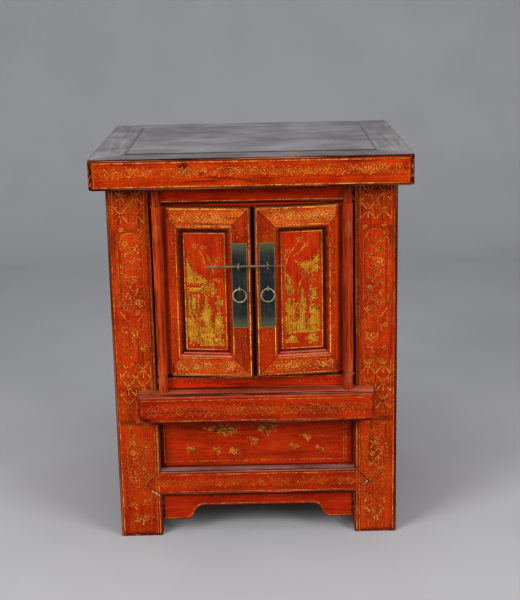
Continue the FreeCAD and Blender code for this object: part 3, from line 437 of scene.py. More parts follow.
@dataclass(frozen=True)
class Board:
    """What a finish has to know of the piece it covers.

    Args:
        place: The place that its patterns follow.
        low: The lowest corner of what shows, where tenons run on beyond it.
        high: The highest corner of what shows.
        arris: The radius of its rounded arrises.
        nooks: Where it is darkened: painted shade in corners, along edges and under overhangs, and stains.
        strewn: Where gold dust lies thick.
        bleached: Where a pale painted highlight lies on it.
    """

    place: Frame = Frame()
    low: Triple = (-FAR, -FAR, -FAR)
    high: Triple = (FAR, FAR, FAR)
    arris: float = 0.0
    nooks: Sequence[Nook] = ()
    strewn: Sequence[Nook] = ()
    bleached: Sequence[Nook] = ()

    def fitted(self, item: bpy.types.Object) -> "Board":
        """The board with its box cut down to what a piece fills."""
        points = np.empty(len(item.data.vertices) * 3, dtype=np.float32)
        item.data.vertices.foreach_get("co", points)
        points = self.place.local(points.reshape(-1, 3).astype(float) / MM)
        low, high = np.maximum(points.min(axis=0), self.low), np.minimum(points.max(axis=0), self.high)
        return replace(self, low=tuple(low.tolist()), high=tuple(high.tolist()))


@dataclass(frozen=True)
class Surface:
    """What a finish goes on: a tree, the coordinates, the distance to the nearest arris in metres, and the board."""

    graph: Graph
    place: Signal
    edge: Signal
    board: Board


ROUNDING = 1.0 - math.sqrt(0.5)
BUMP_DEPTH = 0.0006
SOCKETS = {"Colour": "Base Color", "Shine": "Metallic"}


@dataclass(frozen=True)
class Finish:
    """What every finish shares: a name, the way of the grain and the depth of its surface."""

    name: str
    grain: Grain = ALONG_Z
    relief: float = 0.5
    gloss: float = 0.5

    def cover(self, effect: Effect, on: Surface, prefix: str = "", **given: Source) -> Signals:
        """Place an effect on a surface. Inputs that nothing gives are the finish's own values.

        Args:
            effect: The effect.
            on: The surface.
            prefix: What the names of the finish's values for it start with.
            given: Further inputs.

        Returns:
            What the effect gives.
        """
        known = {"Coordinates": on.place, "Stretch": self.grain.value, "Edge": on.edge, **given}
        inputs = {label: known[label] if label in known else getattr(self, prefix + label.lower())
                  for label in effect.takes.split()}
        return effect.place(on.graph, inputs)

    def shade(self, on: Surface) -> Signals:
        """The colour, roughness and height of a surface, and its shine where it has any."""
        raise NotImplementedError

    def material(self, label: str, board: Board) -> bpy.types.Material:
        """A material for one piece.

        Args:
            label: The piece's name.
            board: The piece.

        Returns:
            The material.
        """
        made = bpy.data.materials.new(f"{self.name}.{label}")
        made.use_nodes = True
        graph = Graph(made.node_tree)
        place = board.place.coordinates(graph)
        corners = {"Coordinates": place, "Low": metres(board.low), "High": metres(board.high)}
        edge = BOARD_EDGE.place(graph, corners)["Distance"]
        if board.arris > 0.0:
            edge = (edge - board.arris * MM * ROUNDING).at_least(0.0)
        skin = self.shade(Surface(graph, place, edge, board))
        bump = {"Height": skin.pop("Height"), "Strength": self.relief, "Distance": BUMP_DEPTH}
        skin |= {"Normal": graph.give("Bump", "Normal", bump), "Coat Weight": 0.0, "Coat Roughness": 0.25,
                 "Specular IOR Level": self.gloss}
        shader = made.node_tree.nodes["Principled BSDF"]
        for name, source in skin.items():
            graph.join(source, shader.inputs[SOCKETS.get(name, name)])
        return made

    def dress(self, item: bpy.types.Object, board: Board) -> None:
        """Give a piece this finish."""
        item.data.materials.clear()
        item.data.materials.append(self.material(item.name, board.fitted(item)))


@dataclass(frozen=True)
class Lacquer(Finish):
    """Worn red lacquer; upward faces may be worn to grey-brown."""

    gloss: float = 0.04
    bright: Triple = (0.470, 0.028, 0.001)
    deep: Triple = (0.270, 0.012, 0.001)
    # The colour of dirt, and of painted shade in nooks and along the arrises.
    grime: Triple = (0.018, 0.004, 0.002)
    # The colour of that thin arris line: worn wood and painted highlight.
    wood: Triple = (0.500, 0.140, 0.050)
    gold: Triple = (0.460, 0.115, 0.006)
    # The colour of the painted highlights.
    pale: Triple = (0.440, 0.190, 0.150)
    dirt: float = 0.85
    # How strong the arris line of wear and painted highlight is.
    rubbed: float = 0.7
    dust: float = 0.35
    top_rubbed: float = 0.0
    top_dark: Triple = (0.070, 0.046, 0.036)
    top_pale: Triple = (0.240, 0.180, 0.145)
    top_brown: Triple = (0.230, 0.080, 0.035)

    def shade(self, on: Surface) -> Signals:
        """Lacquer on all faces with its painted shade and painted highlights, and the worn grey-brown top where a face
        looks up.
        """
        graph, place = on.graph, on.place
        ragged = graph.noise(place, 95.0, 4.0) - 0.5
        # The nooks hold painted shade and stains; the pale marks mixed in below are painted highlights.
        shade_and_stain_mask, dust = 0.0, self.dust
        for each in on.board.nooks:
            shade_and_stain_mask = graph.maths("MAXIMUM", shade_and_stain_mask, each.amount(graph, place, ragged))
        for each in on.board.strewn:
            dust = graph.maths("MAXIMUM", dust, each.amount(graph, place, ragged))
        found = self.cover(WORN_LACQUER, on, Dust=dust, Nook=shade_and_stain_mask)
        # Pale painted highlights on the arrises and bevels.
        for each in on.board.bleached:
            found["Colour"] = graph.mix(each.amount(graph, place, ragged), found["Colour"], self.pale)
        if self.top_rubbed > 0.0:
            top = self.cover(RUBBED_TOP, on, "top_")
            up = graph.apart(graph.give("NewGeometry", "Normal"))[2]
            share = (up + (graph.noise(place, 60.0, 4.0) - 0.5) * 0.35).fade(0.80, 0.94) * self.top_rubbed
            # The worn top is darkened by the same painted shade and stains.
            stained = graph.mix(graph.maths("MULTIPLY", shade_and_stain_mask, 0.75), top["Colour"], self.grime)
            found["Colour"] = graph.mix(share, found["Colour"], stained)
            for name in ("Roughness", "Height"):
                found[name] = graph.blend(share, found[name], top[name])
        return found


@dataclass(frozen=True)
class PoleLacquer(Lacquer):
    """The pivot stile: plain handled red-brown on the round pole, lacquer on the flat beside it."""

    bright: Triple = (0.400, 0.022, 0.001)
    deep: Triple = (0.220, 0.010, 0.001)
    pole: Triple = (0.560, 0.050, 0.005)
    # The pole's dark streaks, and the colour of its painted shade.
    pole_deep: Triple = (0.140, 0.012, 0.002)
    pole_worn: Triple = (0.560, 0.110, 0.025)
    side: float = 1.0
    pole_edge: float = 12.0

    def shade(self, on: Surface) -> Signals:
        """The lacquer's colour, changed where the piece is round."""
        found, graph = super().shade(on), on.graph
        across = graph.apart(on.place)[0] * self.side
        flat = across.fade(self.pole_edge * MM, (self.pole_edge + 2.0) * MM)
        along = graph.vector("MULTIPLY", on.place, self.grain.value)
        colour = graph.mix(graph.noise(along, 300.0, 5.0, 0.3).fade(0.38, 0.58), self.pole_deep, self.pole)
        worn = graph.noise(graph.vector("MULTIPLY", on.place, (1.0, 1.0, 0.3)), 38.0, 5.0).fade(0.54, 0.66)
        colour = graph.mix(worn * 0.6, colour, self.pole_worn)
        # Painted shade on the half of the pole that turns towards the leaf.
        colour = graph.mix(across.fade(-8.0 * MM, 9.0 * MM) * 0.6, colour, self.pole_deep)
        found["Colour"] = graph.mix(flat, colour, found["Colour"])
        return found


@dataclass(frozen=True)
class Brass(Finish):
    """Old brass with its patina."""

    patina: Triple = (0.014, 0.012, 0.011)
    metal: Triple = (0.330, 0.290, 0.130)
    rim: float = 0.8
    streaks: float = 0.25
    ends: float = 0.0

    def shade(self, on: Surface) -> Signals:
        """Metal and patina over the whole piece, thinner towards the upper and lower end."""
        low, high = on.board.low[2], on.board.high[2]
        middle, reach = (low + high) / 2 * MM, (high - low) / 2 * MM
        away = on.graph.maths("ABSOLUTE", on.graph.apart(on.place)[2] - middle)
        return self.cover(OLD_BRASS, on, Thin=away.fade(reach * 0.66, reach * 1.02) * self.ends)


@dataclass(frozen=True)
class Gilt(Finish):
    """Gilt strokes that have worn down to the lacquer in patches."""

    gloss: float = 0.06
    gold: Triple = (0.820, 0.360, 0.050)
    browned: Triple = (0.540, 0.160, 0.016)
    ground: Triple = (0.380, 0.024, 0.001)
    loss: float = 0.0

    def shade(self, on: Surface) -> Signals:
        """Gilt over the whole piece."""
        return self.cover(WORN_GILT, on)


@dataclass(frozen=True)
class Wood(Finish):
    """Bare or stained boards."""

    gloss: float = 0.1
    dark: Triple = (0.120, 0.055, 0.028)
    light: Triple = (0.330, 0.190, 0.100)

    def shade(self, on: Surface) -> Signals:
        """Grain over the whole board."""
        return self.cover(BOARD_GRAIN, on)


# ------------------------------------------------------------------ drawing in low relief


def pairs(across: np.ndarray, up: np.ndarray) -> np.ndarray:
    """Points from their two coordinates."""
    return np.stack([across, up], axis=-1)


def circle(angle: np.ndarray) -> np.ndarray:
    """Points of the unit circle."""
    return pairs(np.cos(angle), np.sin(angle))


def ring(middles: np.ndarray, size: np.ndarray, count: int, share: float = 1.0, start: float = 0.0) -> np.ndarray:
    """Points evenly round each middle, at a share of its size."""
    turn = np.arange(count) / count * TURN + start
    return middles[:, None] + circle(turn)[None] * size[:, None, None] * share


def alternate(count: int) -> np.ndarray:
    """Signs that change from one to the next, minus first."""
    return np.where(np.arange(count) % 2 == 0, -1.0, 1.0)


@dataclass(frozen=True)
class Face:
    """A flat face to draw on: where (0, 0) lies, and which way across, up and out point in its place."""

    origin: Triple
    place: Frame = Frame()
    across: Triple = (1.0, 0.0, 0.0)
    up: Triple = (0.0, 0.0, 1.0)
    out: Triple = (0.0, -1.0, 0.0)
    body: str = "cabinet"
    slot: str = "rail_lacquer"

    def mirrored(self) -> bool:
        """Whether a drawing comes out with its other hand."""
        return float(np.dot(np.cross(self.across, self.up), self.out)) < 0.0

    def lay(self, flat: np.ndarray, lift: np.ndarray) -> np.ndarray:
        """Points of the drawing as points of the cabinet."""
        axes = np.array([self.across, self.up, self.out])
        points = np.concatenate([flat, lift[..., None]], axis=-1) @ axes + np.array(self.origin)
        return self.place.world(points.reshape(-1, 3)).reshape(points.shape)


@dataclass
class Drawing:
    """Strokes, leaves and masses on one face, each a closed low solid with its feet just under the surface."""

    face: Face
    height: float = 0.22
    grow: float = 0.0
    foot: float = 0.10
    points: list[np.ndarray] = field(default_factory=list)
    triangles: list[np.ndarray] = field(default_factory=list)
    count: int = 0

    def keep(self, flat: np.ndarray, lift: np.ndarray, triangles: np.ndarray) -> None:
        """Store solids of equal make.

        Args:
            flat: (solids, vertices, 2) places on the face.
            lift: (solids, vertices) heights over it.
            triangles: (faces, 3) vertex numbers of one solid.
        """
        solids, size = flat.shape[:2]
        if self.face.mirrored():
            triangles = triangles[:, ::-1]
        starts = self.count + np.arange(solids)[:, None, None] * size
        self.points.append(self.face.lay(flat, lift).reshape(-1, 3))
        self.triangles.append((triangles[None] + starts).reshape(-1, 3))
        self.count += solids * size

    def strokes(self, paths: np.ndarray, width: float | np.ndarray) -> None:
        """Flat-topped ridges along paths: at each station two feet and two crests, half a width to each side.

        Args:
            paths: (strokes, stations, 2) centre lines.
            width: One width, or one for each station of each stroke.
        """
        paths = np.asarray(paths, dtype=float)
        if paths.shape[1] == 2:
            paths = np.stack([paths[:, 0], paths.mean(axis=1), paths[:, 1]], axis=1)
        strokes, stations = paths.shape[:2]
        way = np.gradient(paths, axis=1)
        way /= np.maximum(np.linalg.norm(way, axis=-1, keepdims=True), 1e-9)
        half = (np.broadcast_to(width, (strokes, stations))[..., None] + self.grow) / 2
        left = pairs(-way[..., 1], way[..., 0]) * half
        flat = np.stack([paths + left, paths + left * 0.6, paths - left * 0.6, paths - left], axis=2)
        lift = np.tile([-self.foot, self.height, self.height, -self.foot], (strokes, stations))
        start = np.arange(stations - 1)[:, None, None] * 4
        around = np.array([[1, 0], [2, 1], [3, 2], [0, 3]])
        sides = np.array([[[b, b + 4, a + 4], [b, a + 4, a]] for a, b in around]).reshape(-1, 3)
        last = (stations - 1) * 4
        ends = np.array([[0, 2, 1], [0, 3, 2], [last, last + 1, last + 2], [last, last + 2, last + 3]])
        self.keep(flat.reshape(strokes, -1, 2), lift, np.concatenate([(sides[None] + start).reshape(-1, 3), ends]))

    def fans(self, outlines: np.ndarray) -> None:
        """Low cushions inside outlines that go counterclockwise round their middle."""
        cushions, stations = outlines.shape[:2]
        middle = outlines.mean(axis=1, keepdims=True)
        spoke = outlines - middle
        length = np.maximum(np.linalg.norm(spoke, axis=-1, keepdims=True), 1e-6)
        rim = middle + spoke * (1.0 + self.grow / 2 / length)
        flat = np.concatenate([rim, middle + (rim - middle) * 0.9, middle, middle], axis=1)
        lift = np.repeat([-self.foot, self.height, self.height, -self.foot], [stations, stations, 1, 1])
        here = np.arange(stations)
        after = (here + 1) % stations
        top, bottom = np.full(stations, 2 * stations), np.full(stations, 2 * stations + 1)
        rows = ((here, after, after + stations), (here, after + stations, here + stations),
                (here + stations, after + stations, top), (after, here, bottom))
        self.keep(flat, np.tile(lift, (cushions, 1)), np.concatenate([np.stack(row, axis=1) for row in rows]))

    def leaves(self, middles: np.ndarray, angles: np.ndarray, lengths: np.ndarray | float,
               widths: np.ndarray | float) -> None:
        """Pointed leaves: along the leaf cos t, across it sin t drawn in towards the tips.

        Args:
            middles: (leaves, 2) places.
            angles: Which way each points, in radians.
            lengths: One length, or one for each leaf.
            widths: One width, or one for each leaf.
        """
        middles = np.reshape(middles, (-1, 2))
        turn = np.arange(10) / 10 * TURN
        along = np.cos(turn)[None] * np.broadcast_to(lengths, len(middles))[:, None] / 2
        wide = np.sin(turn) * np.abs(np.sin(turn)) ** 0.4
        wide = wide[None] * np.broadcast_to(widths, len(middles))[:, None] / 2
        cosine, sine = np.cos(angles)[..., None], np.sin(angles)[..., None]
        outline = pairs(along * cosine - wide * sine, along * sine + wide * cosine)
        self.fans(outline + middles[:, None])

    def strew(self, chance: np.random.Generator, spots: np.ndarray, lengths: Point, widths: Point | float) -> None:
        """Leaves that point any way, of lengths and widths between two values."""
        count = len(spots)
        angles, sizes = chance.uniform(0.0, TURN, count), chance.uniform(*lengths, count)
        self.leaves(spots, angles, sizes, widths if isinstance(widths, float) else chance.uniform(*widths, count))

    def beads(self, middles: np.ndarray, radius: float | np.ndarray) -> None:
        """Small round dots."""
        middles = np.reshape(middles, (-1, 2))
        self.fans(ring(middles, np.broadcast_to(radius, len(middles)), 7))

    def blossoms(self, middles: np.ndarray, size: np.ndarray) -> None:
        """Flowers: petals in a ring round a bead."""
        petals, start = 6, 0.3
        turn = np.arange(petals) / petals * TURN + start
        self.leaves(ring(middles, size, petals, 0.62, start), np.tile(turn, len(middles)),
                    np.repeat(size * 0.74, petals), np.repeat(size * 0.60, petals))
        self.beads(middles, size * 0.20)

    def rosettes(self, middles: np.ndarray, size: np.ndarray) -> None:
        """Round flowers: dots in a ring round a small heart."""
        dots = 6
        self.beads(ring(middles, size, dots, 0.72), np.repeat(size * 0.30, dots))
        self.beads(middles, size * 0.22)

    def lines(self, ends: Sequence[tuple[float, float, float, float]], width: float) -> None:
        """Straight strokes, each from its first two numbers to its last two."""
        self.strokes(np.reshape(ends, (-1, 2, 2)), width)

    def border(self, low: Point, high: Point, width: float) -> None:
        """A closed border line, as four strokes that meet at the corners."""
        (left, bottom), (right, top) = low, high
        self.lines([(left, bottom, right, bottom), (right, bottom, right, top), (right, top, left, top),
                    (left, top, left, bottom)], width)

    def finish(self, name: str, finish: Finish, nooks: Sequence[Nook] = ()) -> None:
        """Make the mesh, let it ride on the face's body and dress it.

        Args:
            name: The piece's name.
            finish: What it is covered with.
            nooks: Where it is darkened, by stains and by painted shade.
        """
        mesh = bpy.data.meshes.new(name)
        points = (np.concatenate(self.points) * MM).astype(np.float32)
        faces = np.concatenate(self.triangles).astype(np.int32)
        mesh.vertices.add(len(points))
        mesh.vertices.foreach_set("co", points.ravel())
        mesh.loops.add(faces.size)
        mesh.loops.foreach_set("vertex_index", faces.ravel())
        mesh.polygons.add(len(faces))
        mesh.polygons.foreach_set("loop_start", np.arange(0, faces.size, 3, dtype=np.int32))
        mesh.update(calc_edges=True)
        piece = bpy.data.objects.new(name, mesh)
        bpy.context.scene.collection.objects.link(piece)
        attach(piece, self.face.body)
        finish.dress(piece, Board(self.face.place, nooks=nooks))
        LOG.info("%s: %d triangles on %s", name, len(faces), self.face.body)


Draw = Callable[[Drawing], None]
Layer = tuple[str, Gilt, Draw, float]
HALO = 1.3


def paint(name: str, face: Face, finish: Finish, draw: Draw, nooks: Sequence[Nook] = (), **shape: float) -> None:
    """Draw one layer.

    Args:
        name: The piece's name.
        face: The face it lies on.
        finish: What it is covered with.
        draw: Draws into a drawing.
        nooks: Where it is darkened, by stains and by painted shade.
        shape: The drawing's height, foot and growth.
    """
    drawing = Drawing(face, **shape)
    draw(drawing)
    drawing.finish(name, finish, nooks)


def gild(prefix: str, face: Face, *layers: Layer) -> None:
    """Draw each layer twice: a wider dark one of size, unless its halo is 0, and the gilt on it.

    Args:
        prefix: What the pieces' names start with.
        face: The face they lie on.
        layers: For each the rest of its name, the gilt, what draws it, and how much wider the size is.
    """
    for name, finish, draw, halo in layers:
        if halo > 0.0:
            paint(f"{prefix}{name}_size", face, SIZE, draw, height=0.10, grow=halo)
        paint(prefix + name, face, finish, draw)


# ------------------------------------------------------------------ ornament


def waver(path: np.ndarray, seed: int, size: float) -> np.ndarray:
    """Move the stations of a path a little, as a hand does."""
    return path + np.random.default_rng(seed).normal(0.0, size, path.shape)


def scroll_band(drawing: Drawing, start: float, end: float, middle: float, height: float, pitch: float,
                seed: int) -> None:
    """A running scroll: a wave along the band, a spiral in each bay, and leaves and beads beside the stem.

    Args:
        drawing: What it is drawn into.
        start: Where the band starts, across.
        end: Where it ends.
        middle: The level of its middle line.
        height: How tall the band is.
        pitch: The length of one bay.
        seed: Makes the small unevenness of hand work.
    """
    chance = np.random.default_rng(seed)
    bays = max(int(round((end - start) / pitch)), 1)
    pitch = (end - start) / bays
    run = np.linspace(0.0, 1.0, 12 * bays + 1)
    wave = np.sin(run * bays * math.pi) * height * 0.34
    drawing.strokes(waver(pairs(start + run * (end - start), middle + wave)[None], seed, 0.35), 1.4)
    side = alternate(bays)
    heart = pairs(start + (np.arange(bays) + 0.5) * pitch, middle + side * height * 0.06)
    heart += chance.normal(0.0, 0.5, heart.shape)
    reach = np.linspace(1.0, 0.22, 24) * height * 0.36
    spiral = circle(np.linspace(0.0, 1.35 * TURN, 24)) * reach[:, None] * pairs(np.ones(bays), side)[:, None]
    drawing.strokes(waver(heart[:, None] + spiral, seed + 1, 0.3), 1.3)
    drawing.beads(heart + chance.normal(0.0, 0.6, heart.shape), chance.uniform(1.0, 2.0, bays))
    angle = chance.uniform(0.2, 1.2, bays) * side
    for shift, lift, lean in ((0.34, 0.38, 0.9), (-0.30, 0.42, -0.7), (0.05, -0.46, 2.2), (-0.42, -0.32, 2.6),
                              (0.46, -0.10, 0.2)):
        places = heart + pairs(np.full(bays, shift * pitch), side * lift * height)
        places += chance.normal(0.0, 0.5, places.shape)
        size = pitch * chance.uniform(0.16, 0.30, bays)
        drawing.leaves(places, angle + lean * side, size, size * 0.5)


def star_lattice(drawing: Drawing, low: Point, high: Point, columns: int, rows: int, seed: int) -> None:
    """Diamonds with uprights through every node, so that six rays meet there, and a few dots in the gaps.

    Args:
        drawing: What it is drawn into.
        low: The lower left corner of its field.
        high: The upper right corner.
        columns: How many diamonds lie side by side.
        rows: How many lie above each other.
        seed: Makes the unevenness of hand work.
    """
    (left, bottom), (right, top) = low, high
    size = np.array([(right - left) / columns, (top - bottom) / rows])
    column, row = np.meshgrid(np.arange(columns), np.arange(rows))
    corner = pairs(left + column.ravel() * size[0], bottom + row.ravel() * size[1])
    run = np.linspace(0.03, 0.97, 5)[None, :, None]
    for start, end, width in (((0.0, 0.0), (1.0, 1.0), 2.4), ((1.0, 0.0), (0.0, 1.0), 2.4),
                              ((0.5, 0.0), (0.5, 1.0), 1.8), ((0.0, 0.0), (0.0, 1.0), 1.4),
                              ((1.0, 0.0), (1.0, 1.0), 1.4)):
        first, last = corner + np.array(start) * size, corner + np.array(end) * size
        drawing.strokes(waver(first[:, None] * (1 - run) + last[:, None] * run, seed, 0.25), width)
    drawing.beads(corner + size / 2, 2.4)
    for gap in ((0.25, 0.5), (0.75, 0.5), (0.5, 0.25), (0.5, 0.75)):
        drawing.beads(waver(corner + size * np.array(gap), seed, 0.8), 1.0)


FOOT, STRAIGHT, ARCH = 2, 12, 17


def arched_window(middle: float, bottom: float, top: float, half: float) -> np.ndarray:
    """A tall window, counterclockwise: cut corners below, straight sides, shoulders and a round arch above.

    Args:
        middle: Its middle line, across.
        bottom: Its foot.
        top: The top of its arch.
        half: Half its width.

    Returns:
        The outline's points.
    """
    turn = np.linspace(0.0, math.pi, ARCH)
    arch = pairs(np.cos(turn) * half * 0.76, top - half * 0.62 + np.sin(turn) * half * 0.62)
    right = pairs(np.full(STRAIGHT, half), np.linspace(bottom + half * 0.8, top - half * 0.80, STRAIGHT))
    foot = np.array([[-half * 0.45, bottom], [half * 0.45, bottom]])
    outline = np.concatenate([foot, right, arch, right[::-1] * np.array([-1.0, 1.0])])
    return outline + np.array([middle, 0.0])


def flowering_spray(drawing: Drawing, low: Point, high: Point, seed: int) -> None:
    """A winding stem with rosettes left and right of it, and leaves and small buds between them.

    Args:
        drawing: What it is drawn into.
        low: The lower left corner of its field.
        high: The upper right corner.
        seed: Makes the unevenness of hand work.
    """
    chance = np.random.default_rng(seed)
    (left, bottom), (right, top) = low, high
    heads, stations = int((top - bottom) / 11.0), 60
    run = np.linspace(0.0, 1.0, stations)
    centre, reach = (left + right) / 2, (right - left) / 2
    stem = pairs(centre + np.sin(run * TURN * heads / 5.0) * reach * 0.3, bottom + run * (top - bottom))
    drawing.strokes(stem[None], 1.0)
    share = (np.arange(heads) + 0.5) / heads
    away = alternate(heads) * reach * chance.uniform(0.22, 0.66, heads)
    middles = pairs(centre + away, bottom + share * (top - bottom))
    roots = stem[np.clip((share * stations).astype(int) - 4, 0, stations - 1)]
    drawing.strokes(np.stack([roots, (middles + roots) / 2 + np.array([0.0, 2.0]), middles], axis=1), 0.9)
    drawing.rosettes(middles, chance.uniform(4.2, 6.6, heads))
    count = heads * 4
    centre, spread = np.array([centre, (bottom + top) / 2]), np.array([reach * 0.95, (top - bottom) / 2])
    drawing.strew(chance, centre + chance.uniform(-1.0, 1.0, (count, 2)) * spread, (4.0, 8.0), (1.6, 2.8))
    buds = centre + chance.uniform(-1.0, 1.0, (count, 2)) * spread
    drawing.beads(buds, chance.uniform(0.8, 1.5, count))


def twigs(drawing: Drawing, low: Point, high: Point, count: int, seed: int) -> None:
    """Short forked twigs: a thick stroke, and two thinner ones that leave it at its middle.

    Args:
        drawing: What they are drawn into.
        low: The lower left corner of their field.
        high: The upper right corner.
        count: How many there are.
        seed: Scatters them.
    """
    chance = np.random.default_rng(seed)
    roots = chance.uniform(low, high, (count, 2))
    angle, length = chance.uniform(0.8, 2.4, count), chance.uniform(15.0, 23.0, count)
    way = circle(angle) * length[:, None]
    drawing.strokes(np.stack([roots - way / 2, roots + way / 2], axis=1), 2.6)
    for turn, share in ((0.8, 0.6), (-0.7, 0.5)):
        side = circle(angle + turn) * length[:, None] * share
        drawing.strokes(np.stack([roots, roots + side], axis=1), 2.0)


def flower_cluster(drawing: Drawing, middle: Point, reach: Point, heads: int, seed: int) -> None:
    """A low bunch: full blossoms close together over short curved stems and narrow leaves.

    Args:
        drawing: What it is drawn into.
        middle: Its middle.
        reach: How far it reaches across and up.
        heads: How many blossoms it has.
        seed: Makes the unevenness of hand work.
    """
    chance = np.random.default_rng(seed)
    centre, spread = np.array(middle), np.array(reach)
    away = np.sqrt((np.arange(heads) + 0.4) / heads)[:, None]
    middles = centre + circle(np.arange(heads) * 2.4) * away * spread * 0.8
    drawing.blossoms(middles, chance.uniform(4.6, 6.4, heads))
    drawing.strew(chance, centre + chance.normal(0.0, 0.55, (heads * 4, 2)) * spread, (6.0, 10.0), (1.8, 2.6))
    ends = centre + chance.uniform(-1.0, 1.0, (heads, 2)) * spread
    bend = (middles + ends) / 2 + chance.normal(0.0, 2.0, (heads, 2))
    drawing.strokes(np.stack([middles, bend, ends], axis=1), 0.9)


def rough_outline(corners: np.ndarray, seed: int, unevenness: float, swell: float = 0.0) -> np.ndarray:
    """A closed outline through corners, counterclockwise, with eight stations a side and a wavering hand.

    Args:
        corners: The corners.
        seed: Makes the wavering.
        unevenness: How far a station strays.
        swell: How far each side bulges out, as a share of its length.

    Returns:
        The outline's points.
    """
    step = (np.arange(8) / 8)[None, :, None]
    side = np.roll(corners, -1, axis=0) - corners
    outward = pairs(side[:, 1], -side[:, 0])[:, None]
    sides = corners[:, None] + side[:, None] * step + outward * np.sin(step * math.pi) * swell
    return waver(sides.reshape(-1, 2), seed, unevenness)


# ------------------------------------------------------------------ finishes of this cabinet

GILT = Gilt("gilt")
BAND_GILT = Gilt("band_gilt", gold=(0.700, 0.250, 0.020), browned=(0.480, 0.120, 0.006), loss=0.015)
LINE_GILT = Gilt("line_gilt", gold=(0.740, 0.290, 0.030), browned=(0.500, 0.120, 0.008), loss=0.035)
FAINT_GILT = Gilt("faint_gilt", gold=(0.520, 0.150, 0.010), browned=(0.400, 0.080, 0.004), loss=0.03)
PICTURE_GILT = Gilt("picture_gilt", gold=(0.540, 0.235, 0.012), browned=(0.430, 0.140, 0.006), loss=-0.02)
BRUSH_GILT = Gilt("brush_gilt", gold=(0.660, 0.320, 0.030), browned=(0.500, 0.190, 0.010), loss=-0.01)
SIZE = Gilt("size", gold=(0.190, 0.014, 0.003), browned=(0.090, 0.008, 0.002), ground=(0.300, 0.016, 0.001), loss=0.02)
INK = Gilt("ink", gold=(0.022, 0.008, 0.005), browned=(0.012, 0.005, 0.004), ground=(0.090, 0.018, 0.006), loss=-0.03)
# Pale pinkish painted highlight for an arris.
PAINTED_ARRIS_HIGHLIGHT = Gilt("rub", gold=(0.600, 0.190, 0.090), browned=(0.500, 0.070, 0.020), ground=(0.440, 0.030, 0.002), loss=0.03)
CHIP = Wood("chip", ALONG_X, dark=(0.200, 0.090, 0.030), light=(0.600, 0.420, 0.220))

FRONT_LACQUER = Lacquer("front_lacquer", ALONG_X, bright=(0.650, 0.026, 0.001), deep=(0.400, 0.012, 0.001), dust=0.10)
APRON_LACQUER = Lacquer("apron_lacquer", ALONG_X, bright=(0.400, 0.018, 0.001), deep=(0.230, 0.008, 0.001), dust=0.10)
POST_LACQUER = Lacquer("post_lacquer", bright=(0.440, 0.026, 0.001), deep=(0.265, 0.012, 0.001), dust=0.6,
                       gold=(0.490, 0.096, 0.004))
FIELD_LACQUER = Lacquer("field_lacquer", bright=(0.500, 0.024, 0.001), deep=(0.350, 0.014, 0.001), dust=0.4,
                        rubbed=0.0, dirt=0.5)
LEDGE_LACQUER = Lacquer("ledge_lacquer", ALONG_X, top_rubbed=0.85, bright=(0.420, 0.020, 0.001),
                        deep=(0.240, 0.009, 0.001), dust=0.12, top_dark=(0.190, 0.024, 0.009),
                        top_pale=(0.450, 0.105, 0.045), top_brown=(0.430, 0.036, 0.005))
LOWER_RAIL_LACQUER = Lacquer("lower_rail_lacquer", ALONG_X, top_rubbed=0.9, bright=(0.400, 0.019, 0.001),
                             deep=(0.230, 0.009, 0.001), dust=0.10, top_dark=(0.120, 0.040, 0.028),
                             top_pale=(0.280, 0.170, 0.145), top_brown=(0.240, 0.050, 0.020))
SLAB_LONG = Lacquer("slab_long", ALONG_X, gloss=0.012, top_rubbed=1.0, top_dark=(0.105, 0.099, 0.102),
                    top_pale=(0.235, 0.226, 0.236), top_brown=(0.100, 0.072, 0.064))
SLAB_END = replace(SLAB_LONG, name="slab_end", grain=ALONG_Y)
SLAB_FRONT = replace(SLAB_LONG, name="slab_front", dirt=1.0, top_dark=(0.066, 0.058, 0.057),
                     top_pale=(0.195, 0.178, 0.182), top_brown=(0.120, 0.066, 0.053))
SIDE_LACQUER = Lacquer("side_lacquer", bright=(0.340, 0.028, 0.005), deep=(0.200, 0.014, 0.003), dust=0.1)
SIDE_RAIL_LACQUER = replace(SIDE_LACQUER, name="side_rail_lacquer", grain=ALONG_Y)
PANEL_LACQUER = Lacquer("panel_lacquer", ALONG_X, bright=(0.430, 0.020, 0.001), deep=(0.270, 0.010, 0.001),
                        rubbed=0.0, dust=0.2, dirt=0.7)
LEAF_RAIL = Lacquer("leaf_rail", ALONG_X, dust=0.75, gold=(0.580, 0.180, 0.014))
LEAF_TOP_RAIL = Lacquer("leaf_top_rail", ALONG_X, bright=(0.530, 0.052, 0.003), deep=(0.330, 0.020, 0.001),
                        dust=0.95, gold=(0.640, 0.220, 0.020))
LEAF_STILE = Lacquer("leaf_stile", bright=(0.360, 0.018, 0.001), deep=(0.190, 0.008, 0.001), dust=0.45)
LEAF_PANEL = Lacquer("leaf_panel", bright=(0.450, 0.020, 0.001), deep=(0.290, 0.011, 0.001), rubbed=0.0, dust=0.4)
RED_POLE = PoleLacquer("pole_lacquer")
BROWN_POLE = PoleLacquer("pole_lacquer", pole=(0.450, 0.038, 0.005), pole_worn=(0.450, 0.100, 0.040))

